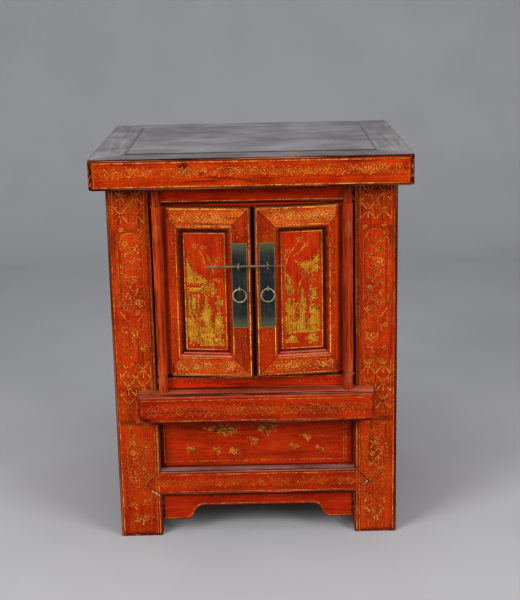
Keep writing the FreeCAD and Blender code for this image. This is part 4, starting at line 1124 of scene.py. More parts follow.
BACK_WOOD = Wood("back_wood", dark=(0.060, 0.026, 0.015), light=(0.190, 0.085, 0.045))
BACK_RAIL_WOOD = replace(BACK_WOOD, name="back_rail_wood", grain=ALONG_X)
INNER_WOOD = Wood("inner_wood", ALONG_X)
BATTEN_WOOD = Wood("batten_wood", ALONG_Y)
PLATE_BRASS = Brass("plate_brass", patina=(0.008, 0.010, 0.012), metal=(0.205, 0.225, 0.092), ends=0.30,
                    streaks=0.10, gloss=0.2)
RING_BRASS = Brass("ring_brass", ALONG_X, patina=(0.110, 0.082, 0.040), metal=(0.660, 0.590, 0.370), rim=0.3,
                   streaks=0.9)
PIN_BRASS = Brass("pin_brass", ALONG_X, patina=(0.048, 0.033, 0.018), metal=(0.330, 0.255, 0.140), rim=0.2,
                  streaks=0.8)


def dress_nodes(finish: Finish, names: str, board: Board = Board()) -> None:
    """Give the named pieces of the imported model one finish.

    Args:
        finish: The finish.
        names: The pieces, with blanks between them.
        board: What they share: where their patterns lie, what shows of them, and their marks.
    """
    for name in names.split():
        finish.dress(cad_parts[name], board)
        LOG.info("%s: %s", name, finish.name)


# ------------------------------------------------------------------ sub-assemblies


@dataclass
class TopSlab:
    """The thick framed top with its gilt front edge."""

    half_width: float = 320.0
    half_depth: float = 270.0
    bottom: float = 762.0
    height: float = 62.0
    corner: float = 11.0
    frame_width: float = 70.0
    scroll_share: float = 0.56

    def dress(self) -> None:
        """Lacquer on the frame, the panel and the batten."""
        slab = Board(low=(-self.half_width, -self.half_depth, self.bottom), arris=4.0,
                     high=(self.half_width, self.half_depth, self.bottom + self.height))
        seam = self.frame_width - self.half_depth
        # Two dark smudges on the front edge, painted shade along its lower arris, and a dark band along the seam before
        # the panel.
        stains = (Nook((-132.0, -270.0, 808.0), (15.0, 12.0, 24.0), 0.9),
                  Nook((-96.0, -270.0, 792.0), (10.0, 12.0, 7.0), 0.7),
                  level(self.bottom, 7.0, 0.8), lengthwise(seam, 15.0, 0.8))
        scroll = (level(self.bottom + self.height * self.scroll_share, 15.0, 0.7),)
        dress_nodes(SLAB_FRONT, "top_front_rail", replace(slab, nooks=stains, strewn=scroll))
        dress_nodes(SLAB_LONG, "top_back_rail", slab)
        dress_nodes(SLAB_END, "top_left_end top_right_end", slab)
        dress_nodes(SLAB_LONG, "top_panel", Board(nooks=(lengthwise(seam, 9.0, 0.8),)))
        dress_nodes(BATTEN_WOOD, "top_batten")

    def lines(self, drawing: Drawing) -> None:
        """Border lines near the arrises of the front edge."""
        reach, top = self.half_width - self.corner - 1.0, self.height - 8.0
        drawing.lines([(-reach, up, reach, up) for up in (6.5, top)], 2.6)
        drawing.lines([(across, 7.0, across, top) for across in (-reach, reach)], 1.2)

    def scroll(self, drawing: Drawing) -> None:
        """The running scroll along the middle of the front edge."""
        reach = self.half_width - self.corner - 13.0
        scroll_band(drawing, -reach, reach, self.height * self.scroll_share, 21.0, 16.5, 3)

    def joints(self, drawing: Drawing) -> None:
        """Mitres at the corners, an open crack before the panel and a closed seam behind it."""
        inner, depth = self.half_width - self.frame_width, self.half_depth - self.frame_width
        outer, far = self.half_width - self.corner / 2, self.half_depth - self.corner / 2
        for x, y in ((-1, -1), (1, -1), (1, 1), (-1, 1)):
            drawing.lines([(x * inner, y * depth, x * outer, y * far)], 1.4)
        run = np.linspace(-1.0, 1.0, 60)
        crack = pairs(run * inner, np.full(60, -depth))[None]
        drawing.strokes(waver(crack, 5, 0.5), 3.0 + 4.0 * np.sin(run * 7.0)[None] ** 2)
        drawing.lines([(-inner, depth, inner, depth)], 2.2)

    def gild(self) -> None:
        """All that lies on the slab."""
        front = Face((0.0, -self.half_depth, self.bottom), slot="top_lacquer")
        top = Face((0.0, 0.0, self.bottom + self.height), up=(0.0, 1.0, 0.0), out=(0.0, 0.0, 1.0), slot="top_lacquer")
        gild("slab_", front, ("lines", LINE_GILT, self.lines, HALO), ("scroll", BAND_GILT, self.scroll, 1.0))
        paint("top_mitre_lines", top, INK, self.joints, height=0.05)


@dataclass
class FrontPosts:
    """The two wide front posts with star lattices, flowered windows and wreaths."""

    inner: float = 206.0
    width: float = 88.0
    depth: float = 46.0
    face: float = -210.0
    top: float = 762.0
    window_bottom: float = 480.0
    window_top: float = 664.0
    lattices: tuple[Point, ...] = ((278.0, 394.0), (684.0, 758.0))
    lattice_pitch: float = 39.0
    wreath_level: float = 172.0
    dots: int = 320
    commas: int = 300

    def centre(self) -> float:
        """The middle line of the ornament, across."""
        return self.width / 2 - 0.5

    def lines(self, drawing: Drawing) -> None:
        """Border lines, double at the inner edge."""
        low, high = 5.0, self.top - 4.0
        drawing.lines([(across, low, across, high) for across in (4.5, self.width - 7.0)], 1.5)
        drawing.lines([(9.5, low, 9.5, high)], 1.0)

    def lattice(self, drawing: Drawing) -> None:
        """The star lattices above and below the window."""
        for number, (bottom, top) in enumerate(self.lattices):
            rows = max(int(round((top - bottom) / self.lattice_pitch)), 1)
            star_lattice(drawing, (12.0, bottom), (self.width - 13.0, top), 2, rows, 50 + number)

    def window(self) -> np.ndarray:
        """The outline of the window."""
        return arched_window(self.centre(), self.window_bottom, self.window_top, 25.0)

    def field(self, drawing: Drawing) -> None:
        """The window's ground."""
        drawing.fans(self.window()[None])

    def frames(self, drawing: Drawing) -> None:
        """The arch, the foot and the thinner sides of the window."""
        outline, arch = self.window(), FOOT + STRAIGHT
        drawing.strokes(outline[arch - 1:arch + ARCH + 2][None], 2.4)
        drawing.strokes(np.concatenate([outline[-2:], outline[:FOOT + 2]])[None], 2.0)
        for side in (outline[FOOT:arch], outline[arch + ARCH:]):
            drawing.strokes(side[None], 1.1)

    def sprays(self, drawing: Drawing, seed: int) -> None:
        """The flowers in the window, in the wreath and beside the lattices."""
        centre, middle = self.centre(), self.wreath_level
        flowering_spray(drawing, (centre - 22, self.window_bottom + 12), (centre + 22, self.window_top - 16), seed)
        flowering_spray(drawing, (centre - 20, middle - 46), (centre + 20, middle + 46), seed + 2)
        spots = np.array([[22.0, 668.0], [60.0, 672.0], [20.0, 470.0], [64.0, 462.0], [44.0, 440.0], [24.0, 418.0],
                          [62.0, 412.0], [42.0, 262.0], [26.0, 250.0], [60.0, 248.0]])
        drawing.rosettes(spots, np.full(len(spots), 5.2))

    def wreath(self, drawing: Drawing) -> None:
        """Leaves and dots along an oval on the lower part."""
        count, wide, tall = 38, 25.0, 60.0
        turn = np.arange(count) / count * TURN
        spokes, middle = circle(turn) * (wide, tall), np.array([self.centre(), self.wreath_level])
        way = np.arctan2(np.cos(turn) * tall, -np.sin(turn) * wide)
        drawing.leaves(middle + spokes, way - 0.6 * alternate(count), 8.0, 2.4)
        drawing.beads(middle + spokes[::2] * 1.12, 1.2)

    def twigs(self, drawing: Drawing, seed: int) -> None:
        """Thick forked twigs above the foot and between the lattice and the window."""
        twigs(drawing, (24.0, 22.0), (self.width - 26.0, 82.0), 10, seed)
        twigs(drawing, (22.0, 404.0), (self.width - 24.0, 466.0), 6, seed + 1)

    def powder(self, drawing: Drawing, seed: int) -> None:
        """Small dots and commas strewn over the whole face."""
        chance = np.random.default_rng(seed)
        spots = chance.uniform((13.0, 8.0), (self.width - 14.0, self.top - 8.0), (self.dots + self.commas, 2))
        drawing.beads(spots[:self.dots], chance.uniform(0.6, 1.2, self.dots))
        drawing.strew(chance, spots[self.dots:], (3.0, 6.5), 1.4)

    def stain(self, side: float, height: float, wide: float, tall: float, most: float) -> Nook:
        """A brown stain on the ornament of the post at one side."""
        return spot(side * (self.inner + self.width * 0.40), self.face, height, wide, tall, most)

    def dress(self) -> None:
        """Lacquer on the posts."""
        golden = (spot(-self.inner - self.width / 2, self.face, 665.0, 70.0, 95.0, 0.95),)
        for side, name in SIDES:
            near, far = side * self.inner, side * (self.inner + self.width)
            # Painted shadow under the slab, painted shade above and below the ledge, darker towards the foot, two brown
            # stains, a darker patch by the outer line, and dirt and painted shade along the inner arris.
            nooks = (level(self.top, 28.0), level(330.0, 9.0, 0.5), level(258.0, 9.0, 0.5), level(0.0, 12.0, 0.8),
                     self.stain(side, 540.0, 26.0, 62.0, 0.42), self.stain(side, 668.0, 50.0, 10.0, 0.35),
                     spot(side * (self.inner + self.width - 10.0), self.face, 650.0, 13.0, 40.0, 0.6),
                     upright(side * (self.inner + 8.0), 5.0, 0.45))
            dress_nodes(POST_LACQUER, f"front_{name}_post", Board(
                low=(min(near, far), self.face, 0.0), high=(max(near, far), self.face + self.depth, self.top),
                arris=3.0, nooks=nooks, strewn=golden))

    def gild(self) -> None:
        """Fields, lines, lattices and sprays, mirrored on the two posts."""
        for side, name in SIDES:
            face = Face((side * self.inner, self.face, 0.0), across=(side, 0.0, 0.0), slot="post_lacquer")
            dirt = (self.stain(side, 535.0, 24.0, 60.0, 0.42),)
            paint(f"{name}_post_fields", face, FIELD_LACQUER, self.field, dirt, height=0.05)
            gild(f"{name}_post_", face,
                 ("lines", LINE_GILT, self.lines, HALO), ("lattice", BAND_GILT, self.lattice, 0.8),
                 ("frames", BAND_GILT, self.frames, 0.9), ("wreath", FAINT_GILT, self.wreath, 0.9),
                 ("twigs", LINE_GILT, partial(self.twigs, seed=28 + int(side)), 0.9),
                 ("sprays", BAND_GILT, partial(self.sprays, seed=8 + int(side)), HALO),
                 ("powder", FAINT_GILT, partial(self.powder, seed=18 + int(side)), 0.0))


@dataclass
class FrontRails:
    """Lintel, sill, ledge, lower rail, lower panel and apron."""

    half_opening: float = 206.0
    face: float = -210.0
    rail_front: float = -213.0
    top: float = 762.0
    lintel_bottom: float = 724.0
    sill_top: float = 360.0
    ledge_half: float = 248.0
    ledge_front: float = -239.0
    ledge_bottom: float = 263.0
    ledge_top: float = 330.0
    rail_bottom: float = 93.0
    rail_height: float = 54.0
    point: float = 32.0
    point_rise: float = 23.0
    panel_front: float = -190.0
    panel_bottom: float = 147.0
    apron_front: float = -200.0
    arch_top: float = 64.0
    arch_foot: float = 32.0
    toe: float = 158.0
    ogee: float = 42.5

    def board(self, reach: float, front: float, bottom: float, top: float, **marks: object) -> Board:
        """A rail or board that shows from a front face backwards.

        Args:
            reach: How far it shows to each side.
            front: Its front face.
            bottom: Its lower edge.
            top: Its upper edge.
            marks: Its arris and marks.

        Returns:
            The board.
        """
        return Board(low=(-reach, front, bottom), high=(reach, 0.0, top), **marks)

    def dress(self) -> None:
        """Lacquer on each rail and board."""
        half, ledge, panel = self.half_opening, self.ledge_front, self.panel_front
        # Painted shade on each board beside the posts.
        edges = (upright(-half, 9.0), upright(half, 9.0))
        # Lintel: painted shadow under the slab, and painted shade along its lower edge.
        dress_nodes(FRONT_LACQUER, "lintel_rail", self.board(
            half, self.rail_front, self.lintel_bottom, self.top,
            nooks=(level(self.top, 15.0), level(self.lintel_bottom, 4.0), *edges)))
        # Sill: painted shade where it meets the ledge.
        dress_nodes(FRONT_LACQUER, "sill_rail", self.board(
            half, self.rail_front, self.ledge_top, self.sill_top, arris=3.0,
            nooks=(level(self.ledge_top, 6.0), *edges)))
        # Apron: painted shade under the lower rail.
        dress_nodes(APRON_LACQUER, "apron", self.board(
            half, self.apron_front, self.arch_foot, self.rail_bottom, nooks=(level(self.rail_bottom, 10.0), *edges)))
        # Ledge: dark patches at its lower edge and left end, painted shade along its lower edge, a darker band at the
        # scroll, and a painted highlight along its upper arris.
        dress_nodes(LEDGE_LACQUER, "ledge_rail", self.board(
            self.ledge_half, ledge, self.ledge_bottom, self.ledge_top, arris=9.0,
            nooks=(spot(-118.0, ledge, 266.0, 24.0, 9.0), spot(-240.0, -230.0, 270.0, 34.0, 13.0),
                   level(self.ledge_bottom, 5.0, 0.9), spot(150.0, ledge, 291.0, 90.0, 9.0, 0.5)),
            strewn=(level(291.0, 16.0, 0.45),), bleached=(level(322.0, 2.0, 0.2),)))
        # Lower rail: painted shade along its lower edge, and a painted highlight along its upper arris.
        dress_nodes(LOWER_RAIL_LACQUER, "lower_rail", self.board(
            half + self.point, self.face, self.rail_bottom, self.panel_bottom, arris=5.0,
            nooks=(level(self.rail_bottom, 6.0, 0.9),), strewn=(level(118.0, 14.0, 0.35),),
            bleached=(level(143.5, 1.6, 0.35),)))
        # Lower panel: painted shadow under the ledge, painted shade along its lower edge and beside the posts, and two
        # darker streaks.
        dress_nodes(PANEL_LACQUER, "lower_panel", self.board(
            half, panel, self.panel_bottom, self.ledge_bottom,
            nooks=(level(self.ledge_bottom, 20.0), level(self.panel_bottom, 5.0, 0.7), upright(-half, 17.0, 0.9),
                   upright(half, 12.0, 0.8), spot(-95.0, panel, 232.0, 60.0, 8.0, 0.3),
                   spot(60.0, panel, 176.0, 110.0, 5.0, 0.35))))

    def small_rails(self, drawing: Drawing) -> None:
        """One line along the lintel's lower edge, one along the sill's upper edge, and dots on the sill."""
        reach, dots = self.half_opening - 24.0, 17
        drawing.lines([(-reach, up, reach, up) for up in (self.lintel_bottom + 4.5, self.sill_top - 5.5)], 2.4)
        drawing.beads(pairs(np.linspace(-reach, reach, dots), np.full(dots, 344.0)), 1.1)

    def ledge_lines(self, drawing: Drawing) -> None:
        """Lines near both arrises of the ledge."""
        reach, top = self.ledge_half - 11.0, 52.0
        drawing.lines([(-reach, top, reach, top), (34.0 - reach, 7.0, reach - 12.0, 7.0)], 1.5)
        drawing.lines([(-reach, 20.0, -reach, top), (reach, 24.0, reach, top)], 0.9)

    def ledge_scroll(self, drawing: Drawing) -> None:
        """The scroll between them."""
        reach = self.ledge_half - 20.0
        scroll_band(drawing, -reach, reach, 29.0, 26.0, 20.0, 11)

    def ledge_rub(self, drawing: Drawing) -> None:
        """A painted highlight: the pale line where the rounding of the ledge meets its face."""
        reach, up = self.ledge_half - 8.0, 58.0
        drawing.lines([(-reach, up, reach, up)], 1.2)

    def rail_lines(self, drawing: Drawing) -> None:
        """Lines along the lower rail, near its edges."""
        half = self.half_opening
        drawing.lines([(-half, up, half, up) for up in (6.0, self.rail_height - 9.0)], 1.8)

    def point_lines(self, drawing: Drawing) -> None:
        """Gilt lines on the posts beside the points."""
        start, tip = self.half_opening + 3.0, self.half_opening + self.point + 4.0
        for side in (-1.0, 1.0):
            drawing.lines([(side * start, self.rail_height + 3.0, side * tip, self.point_rise)], 1.5)

    def rail_scroll(self, drawing: Drawing) -> None:
        """The scroll on the lower rail."""
        reach = self.half_opening + self.point - 18.0
        scroll_band(drawing, -reach, reach, 26.0, 21.0, 18.0, 17)

    def seams(self, drawing: Drawing) -> None:
        """Dark joint lines along the points."""
        for side in (-1.0, 1.0):
            start, tip = side * self.half_opening, side * (self.half_opening + self.point)
            drawing.lines([(start, self.rail_height, tip, self.point_rise), (tip, self.point_rise, start, 0.0)], 1.9)

    def bruises(self, drawing: Drawing) -> None:
        """Bare wood where the points are bruised: place, lean, length and width of each."""
        half = self.half_opening
        rows = np.array([(-half - 17, 8.0, -0.9, 8.0, 2.6), (-half - 10, 3.5, -0.6, 9.0, 3.0),
                         (-half - 4, -1.0, -0.8, 7.0, 2.2), (half + 24, 20.0, 0.9, 11.0, 4.0),
                         (half + 18, 15.0, 0.6, 8.0, 2.4)])
        drawing.leaves(rows[:, :2], rows[:, 2], rows[:, 3], rows[:, 4])

    def panel_lines(self, drawing: Drawing) -> None:
        """The border of the lower panel, double at the right."""
        half, low, high = self.half_opening, self.panel_bottom + 13, self.ledge_bottom - 5
        drawing.border((-half + 9, low), (half - 17, high), 1.7)
        drawing.lines([(half - 22, low, half - 22, high)], 1.0)

    def panel_flowers(self, drawing: Drawing) -> None:
        """Two bunches above and small sprigs below."""
        high, low = self.ledge_bottom, self.panel_bottom
        flower_cluster(drawing, (-70.0, high - 33.0), (38.0, 14.0), 12, 71)
        flower_cluster(drawing, (24.0, high - 31.0), (24.0, 14.0), 8, 72)
        sprigs = ((-142.0, 40.0), (-86.0, 36.0), (-48.0, 34.0), (78.0, 42.0), (-6.0, 58.0), (134.0, 34.0),
                  (106.0, 62.0))
        for number, (across, up) in enumerate(sprigs):
            flower_cluster(drawing, (across, low + up), (11.0, 9.0), 2, 80 + number)

    def apron_line(self, drawing: Drawing) -> None:
        """The line along the apron's lower edge, at a constant distance from it."""
        inset, rise = 3.0, self.arch_top - self.arch_foot
        radius = (self.ogee ** 2 + rise ** 2) / (4 * rise)
        turn = np.linspace(0.0, math.asin(self.ogee / 2 / radius), 12)
        back = turn[::-1]
        half = np.concatenate([
            np.array([[self.half_opening - 3.0, self.arch_foot + inset]]),
            pairs(self.toe - np.sin(turn) * (radius - inset),
                  self.arch_foot + radius - np.cos(turn) * (radius - inset)),
            pairs(self.toe - self.ogee + np.sin(back) * (radius + inset),
                  self.arch_top - radius + np.cos(back) * (radius + inset)),
            np.array([[0.0, self.arch_top + inset]])])
        for side in (1.0, -1.0):
            drawing.strokes((half * np.array([side, 1.0]))[None], 1.8)

    def gild(self) -> None:
        """All gilding of the front."""
        ledge = Face((0.0, self.ledge_front, self.ledge_bottom), slot="ledge_lacquer")
        rail = Face((0.0, self.face, self.rail_bottom), slot="ledge_lacquer")
        panel = Face((0.0, self.panel_front, 0.0), slot="chest_lacquer")
        gild("", Face((0.0, self.rail_front, 0.0)), ("lintel_and_sill_lines", GILT, self.small_rails, HALO))
        gild("ledge_", ledge, ("lines", LINE_GILT, self.ledge_lines, HALO),
             ("scroll", FAINT_GILT, self.ledge_scroll, 0.7), ("rub", PAINTED_ARRIS_HIGHLIGHT, self.ledge_rub, 0.0))
        gild("", rail, ("lower_rail_lines", LINE_GILT, self.rail_lines, HALO),
             ("point_lines", BAND_GILT, self.point_lines, HALO),
             ("lower_rail_scroll", FAINT_GILT, self.rail_scroll, 0.7))
        gild("lower_panel_", panel, ("lines", LINE_GILT, self.panel_lines, HALO),
             ("flowers", BAND_GILT, self.panel_flowers, 0.5))
        apron = Face((0.0, self.apron_front, 0.0), slot="apron_lacquer")
        gild("", apron, ("apron_line", LINE_GILT, self.apron_line, HALO))
        paint("point_joint_lines", rail, INK, self.seams, height=0.16)
        paint("point_bare_wood", rail, CHIP, self.bruises, height=0.24)


@dataclass
class Carcass:
    """Sides, back and floors."""

    def dress(self) -> None:
        """Plain lacquer outside, stained and bare boards elsewhere."""
        dress_nodes(SIDE_LACQUER, "back_left_post back_right_post", Board(high=(400.0, 400.0, 762.0)))
        between = Board(low=(-400.0, -164.0, 0.0), high=(400.0, 202.0, 800.0))
        for side in ("left", "right"):
            dress_nodes(SIDE_LACQUER, f"{side}_upper_panel {side}_lower_panel")
            dress_nodes(SIDE_RAIL_LACQUER, f"{side}_top_rail {side}_middle_rail {side}_bottom_rail", between)
        dress_nodes(BACK_WOOD, "back_upper_panel back_lower_panel")
        dress_nodes(BACK_RAIL_WOOD, "back_top_rail back_middle_rail back_bottom_rail")
        dress_nodes(INNER_WOOD, "cupboard_floor chest_floor")


# Outlines in the pictures on the left and the right leaf, in hundredths of the field: across, up, across, up...
SLOPES = ((
    (0, 57.5, 34, 56.5, 62, 58.5, 34, 65, 16, 70, 0, 79), (0, 49.5, 40, 49.5, 52, 52.5, 40, 54, 0, 54.5),
    (3, 28, 11, 28, 11, 49, 3, 49), (27, 30, 34, 30, 34, 49, 27, 49),
), (
    (2, 84, 3, 69, 22, 63.5, 46, 67, 68, 76.5, 42, 74, 20, 76.5), (56, 3, 98, 3, 97, 7.5, 80, 11, 64, 9),
))
MOUNDS = ((
    (1, 4, 30, 4, 34, 10, 30, 16, 33, 24, 25, 30, 20, 26, 1, 27),
    (36, 13, 60, 12, 66, 20, 62, 27, 66, 34, 57, 39, 53, 47, 46, 42, 42, 34, 36, 30, 39, 21),
    (69, 12, 90, 11, 96, 17, 92, 24, 86, 32, 78, 29, 71, 22), (35, 2, 94, 2, 96, 6, 84, 9, 66, 8, 54, 11, 42, 9),
    (42, 50, 52, 47, 62, 49, 72, 46, 79, 51, 70, 56, 60, 55, 52, 57.5, 44, 55),
    (74, 37, 84, 35, 94, 39, 92, 44, 82, 46, 74, 43), (14, 29, 24, 31, 24, 46, 14, 47),
), (
    (66, 13, 95, 12, 97, 22, 92, 30, 95, 38, 86, 43, 78, 39, 72, 43, 67, 36, 70, 28, 64, 22),
    (38, 14, 60, 14, 63, 22, 59, 30, 61, 38, 54, 44, 50, 52, 44, 44, 39, 38, 42, 28, 36, 20),
    (3, 13, 32, 13, 34, 20, 28, 27, 30, 33, 20, 38, 12, 33, 3, 36),
    (74, 49, 82, 46, 92, 49, 96, 56, 90, 64, 82, 61, 76, 57), (8, 3, 34, 3, 38, 7, 28, 11, 14, 11),
    (10, 43, 22, 41, 30, 45, 24, 51, 12, 50),
))
BANKS = (((28, 10, 50, 8, 74, 10, 73, 17, 52, 20, 30, 19),),
         ((4, 13, 50, 11.5, 96, 13, 95, 20, 72, 22, 48, 20, 26, 22.5, 4, 21),))
# Stems from a root to a tip, and how far each bows.
STEMS = (((56, 46, 46, 88, 22), (66, 50, 84, 78, -10), (50, 74, 26, 90, 6), (60, 62, 88, 60, 2)),
         ((78, 50, 56, 94, 26), (60, 46, 44, 62, 6), (88, 56, 92, 84, 6), (26, 38, 22, 58, 5), (72, 80, 40, 90, -4)))


@dataclass
class DoorLeaf:
    """One leaf, drawn in its own place: origin on the pole's axis at the leaf's lower edge."""

    name: str
    side: float
    pole_x: float = 191.0
    pole_y: float = -223.0
    bottom: float = 368.0
    height: float = 353.0
    width: float = 189.0
    flat: float = 42.0
    border: float = 50.0
    sight: float = 48.0
    far_sight: float = 139.0
    pole: float = 11.0
    stile_start: float = 22.0
    front: float = -7.0
    panel_front: float = 2.0
    ajar: float = math.radians(7.0)
    sprig_count: int = 36

    def place(self) -> Frame:
        """The leaf's own place, as it stands ajar."""
        return Frame((self.side * self.pole_x, self.pole_y, self.bottom), self.side * self.ajar)

    def face(self, depth: float, slot: str = "leaf_lacquer") -> Face:
        """A face of the leaf whose across runs from the pole to the meeting edge."""
        return Face((0.0, depth, 0.0), self.place(), (-self.side, 0.0, 0.0), body=self.name, slot=slot)

    def dress(self) -> None:
        """Lacquer on the frame and panel, patina on the plate."""
        name, way, low, high = self.name, -self.side, self.border, self.height - self.border
        ends = sorted((-way * self.pole, way * self.sight))
        board = partial(Board, self.place())
        pole = replace(RED_POLE if self.side < 0 else BROWN_POLE, side=way)
        # The nooks on the leaf are painted shade: in the cove beside the pole, on the bevels round the panel, along the
        # top rail's edges and along the leaf's lower edge.
        dress_nodes(pole, f"{name}_pivot_stile", board(
            (ends[0], -FAR, 0.0), (ends[1], FAR, self.height),
            nooks=(upright(way * 15.0, 6.0, 0.6), upright(way * self.sight, 9.0, 0.9))))
        dress_nodes(LEAF_STILE, f"{name}_meeting_stile", board(nooks=(upright(way * self.far_sight, 4.0, 0.7),)))
        dress_nodes(LEAF_TOP_RAIL, f"{name}_top_rail", board(
            nooks=(level(high, 9.0, 0.95), level(self.height, 3.0, 0.8))))
        dress_nodes(LEAF_RAIL, f"{name}_bottom_rail", board(
            nooks=(level(low, 2.0, 0.7), level(0.0, 8.0, 0.7)),
            # Pale painted highlights along the bevel of the lower rail.
            bleached=(level(self.flat + 1.0, 1.2, 0.7), level(self.border - 2.0, 0.8, 0.5))))
        dress_nodes(LEAF_PANEL, f"{name}_panel", board(
            (-FAR, -FAR, low), (FAR, FAR, high),
            nooks=(upright(way * self.sight, 6.0), level(high, 5.0), upright(way * self.far_sight, 3.0, 0.7),
                   level(low, 3.0, 0.7))))
        dress_nodes(PLATE_BRASS, f"{name}_lock_plate", board())
        dress_nodes(RING_BRASS, f"{name}_pin_eye {name}_ring_eye {name}_ring", board())

    def frame_lines(self, drawing: Drawing) -> None:
        """Lines near the leaf's outer edge and near the sight edge."""
        edge, inner = 4.0, self.flat - 3.5
        right, top, far = self.width - edge, self.height - edge, self.width - inner
        near, sight, upper = self.stile_start + 3.0, self.flat - 4.5, self.height - inner
        drawing.lines([(near, edge, right, edge), (right, edge, right, top)], 1.9)
        drawing.lines([(near, top, right, top)], 3.0)
        drawing.lines([(sight, inner, far, inner), (sight, upper, far, upper), (far, inner, far, upper),
                       (sight, inner, sight, upper)], 1.9)

    def scrolls(self, drawing: Drawing) -> None:
        """Scrolls on the upper and lower rail."""
        middle, start, end = 21.5, self.stile_start + 8, self.width - self.flat + 4
        for up, seed in ((middle, 31), (self.height - middle, 37)):
            scroll_band(drawing, start, end, up, 20.0, 15.5, seed + int(self.side))

    def sprigs(self, drawing: Drawing) -> None:
        """Thin leaves along the stiles."""
        chance, count = np.random.default_rng(41 + int(self.side)), self.sprig_count
        for start, end in ((self.stile_start + 4, self.flat - 6), (self.width - self.flat + 6, self.width - 7)):
            across = chance.uniform(start, end, count)
            spots = pairs(across, chance.uniform(self.flat, self.height - self.flat, count))
            drawing.strew(chance, spots, (4.0, 7.0), 1.7)

    def mitres(self, drawing: Drawing) -> None:
        """Dark joint lines from the outer to the inner corners."""
        for low, high in ((1.0, self.flat), (self.height - 1.0, self.height - self.flat)):
            drawing.lines([(self.width - 1.0, low, self.width - self.flat, high),
                           (self.stile_start + 2.0, low + (high - low) * 0.55, self.flat - 2.0, high)], 1.5)

    def panel_line(self, drawing: Drawing) -> None:
        """The border line round the picture."""
        side, edge = self.width - self.border - 4, self.border + 5
        drawing.border((self.sight + 4, edge), (side, self.height - self.border - 5), 1.8)

    def field(self, shares: np.ndarray) -> np.ndarray:
        """Places in the picture from shares of its width and height."""
        low = np.array([self.sight + 7, self.border + 8])
        return low + shares * (np.array([self.width - self.border - 7, self.height - self.border - 8]) - low)

    def outlines(self, shapes: tuple, seed: int, unevenness: float, swell: float) -> list[np.ndarray]:
        """Outlines of this leaf's shapes in the picture.

        Args:
            shapes: Those of the left and of the right leaf, in hundredths.
            seed: Makes the wavering of the first.
            unevenness: How far a station strays.
            swell: How far each side bulges out.

        Returns:
            The outlines.
        """
        return [rough_outline(self.field(np.reshape(shape, (-1, 2)) / 100.0), seed + number, unevenness, swell)
                for number, shape in enumerate(shapes[self.side > 0])]

    def slopes(self) -> list[np.ndarray]:
        """The bank that hangs in from the side, and the low roof or the shore."""
        return self.outlines(SLOPES, 90, 0.5, 0.0)

    def mounds(self) -> list[np.ndarray]:
        """Rocks, banks and tree crowns that fill the lower part of the picture."""
        return self.outlines(MOUNDS, 110, 0.7, 0.05)

    def bank(self, drawing: Drawing) -> None:
        """The low bank that joins the mounds."""
        for outline in self.outlines(BANKS, 128, 0.7, 0.04):
            drawing.fans(outline[None])

    def masses(self, drawing: Drawing) -> None:
        """The gilt masses of the picture."""
        for outline in self.slopes() + self.mounds():
            drawing.fans(outline[None])

    def stems(self, drawing: Drawing) -> None:
        """Boughs and stems that bow, with narrow leaves and a curl at each tip, in thin gilt."""
        run, tips = np.linspace(0.0, 1.0, 16)[:, None], []
        for row in np.array(STEMS[self.side > 0]) / 100.0:
            root, tip, bow = row[:2], row[2:4], np.array([row[4], 0.0])
            path = self.field(np.clip(root * (1 - run) + tip * run + np.sin(run * math.pi) * bow, 0.03, 0.97))
            drawing.strokes(path[None], 2.0)
            drawing.leaves(path[3:-1:3], np.arange(len(path[3:-1:3])) * 2.1, 7.5, 2.2)
            tips.append(self.field(tip))
        hearts = np.clip(np.array(tips), self.field(np.array([0.14, 0.0])), self.field(np.array([0.86, 0.94])))
        curl = circle(np.linspace(0.0, 1.4 * TURN, 22)) * np.linspace(6.5, 1.0, 22)[:, None]
        drawing.strokes(hearts[:, None] + curl[None], 1.4)

    def ink_work(self, drawing: Drawing) -> None:
        """Dark contours and folds inside each mass, and upright hatching that follows its height."""
        step = np.linspace(0.0, 1.0, 6)[None, :, None]
        for number, outline in enumerate(self.slopes() + self.mounds()):
            middle = outline.mean(axis=0)
            contour = middle + (outline - middle) * 0.90
            drawing.strokes(np.concatenate([contour, contour[:2]])[None], 0.7)
            drawing.strokes(waver(middle + (outline - middle) * 0.55, 120 + number, 0.5)[None, :20], 0.6)
            across = np.arange(outline[:, 0].min() + 3.0, outline[:, 0].max() - 2.0, 3.6)
            near = np.abs(outline[:, 0][None] - across[:, None]) < 4.0
            low = np.where(near, outline[:, 1][None], np.inf).min(axis=1) + 3.0
            high = np.where(near, outline[:, 1][None], -np.inf).max(axis=1) - 3.0
            kept = high - low > 4.0
            if kept.any():
                first, last = pairs(across, low)[kept][:, None], pairs(across, high)[kept][:, None]
                drawing.strokes(waver(first * (1 - step) + last * step, 96 + number, 0.6), 0.5)

    def lights(self, drawing: Drawing) -> None:
        """Bright touches on the mounds."""
        chance, count = np.random.default_rng(99 + int(self.side)), 12
        for outline in self.mounds():
            middle = outline.mean(axis=0)
            picked = outline[chance.integers(0, len(outline), count)]
            spots = middle + (picked - middle) * chance.uniform(0.15, 0.80, (count, 1))
            drawing.strew(chance, spots, (3.5, 7.0), 1.8)

    def brushwork(self, drawing: Drawing) -> None:
        """Short upright brush strokes that break the outlines of the mounds and of the hanging bank."""
        chance = np.random.default_rng(130 + int(self.side))
        low, high = self.field(np.array([0.04, 0.02])), self.field(np.array([0.96, 0.97]))
        for outline in self.slopes()[:1] + self.mounds():
            spots = np.clip(outline[::2] + chance.normal(0.0, 0.9, outline[::2].shape), low, high)
            count = len(spots)
            drawing.leaves(spots, chance.normal(math.pi / 2, 0.7, count), chance.uniform(3.0, 6.5, count),
                           chance.uniform(1.4, 2.4, count))

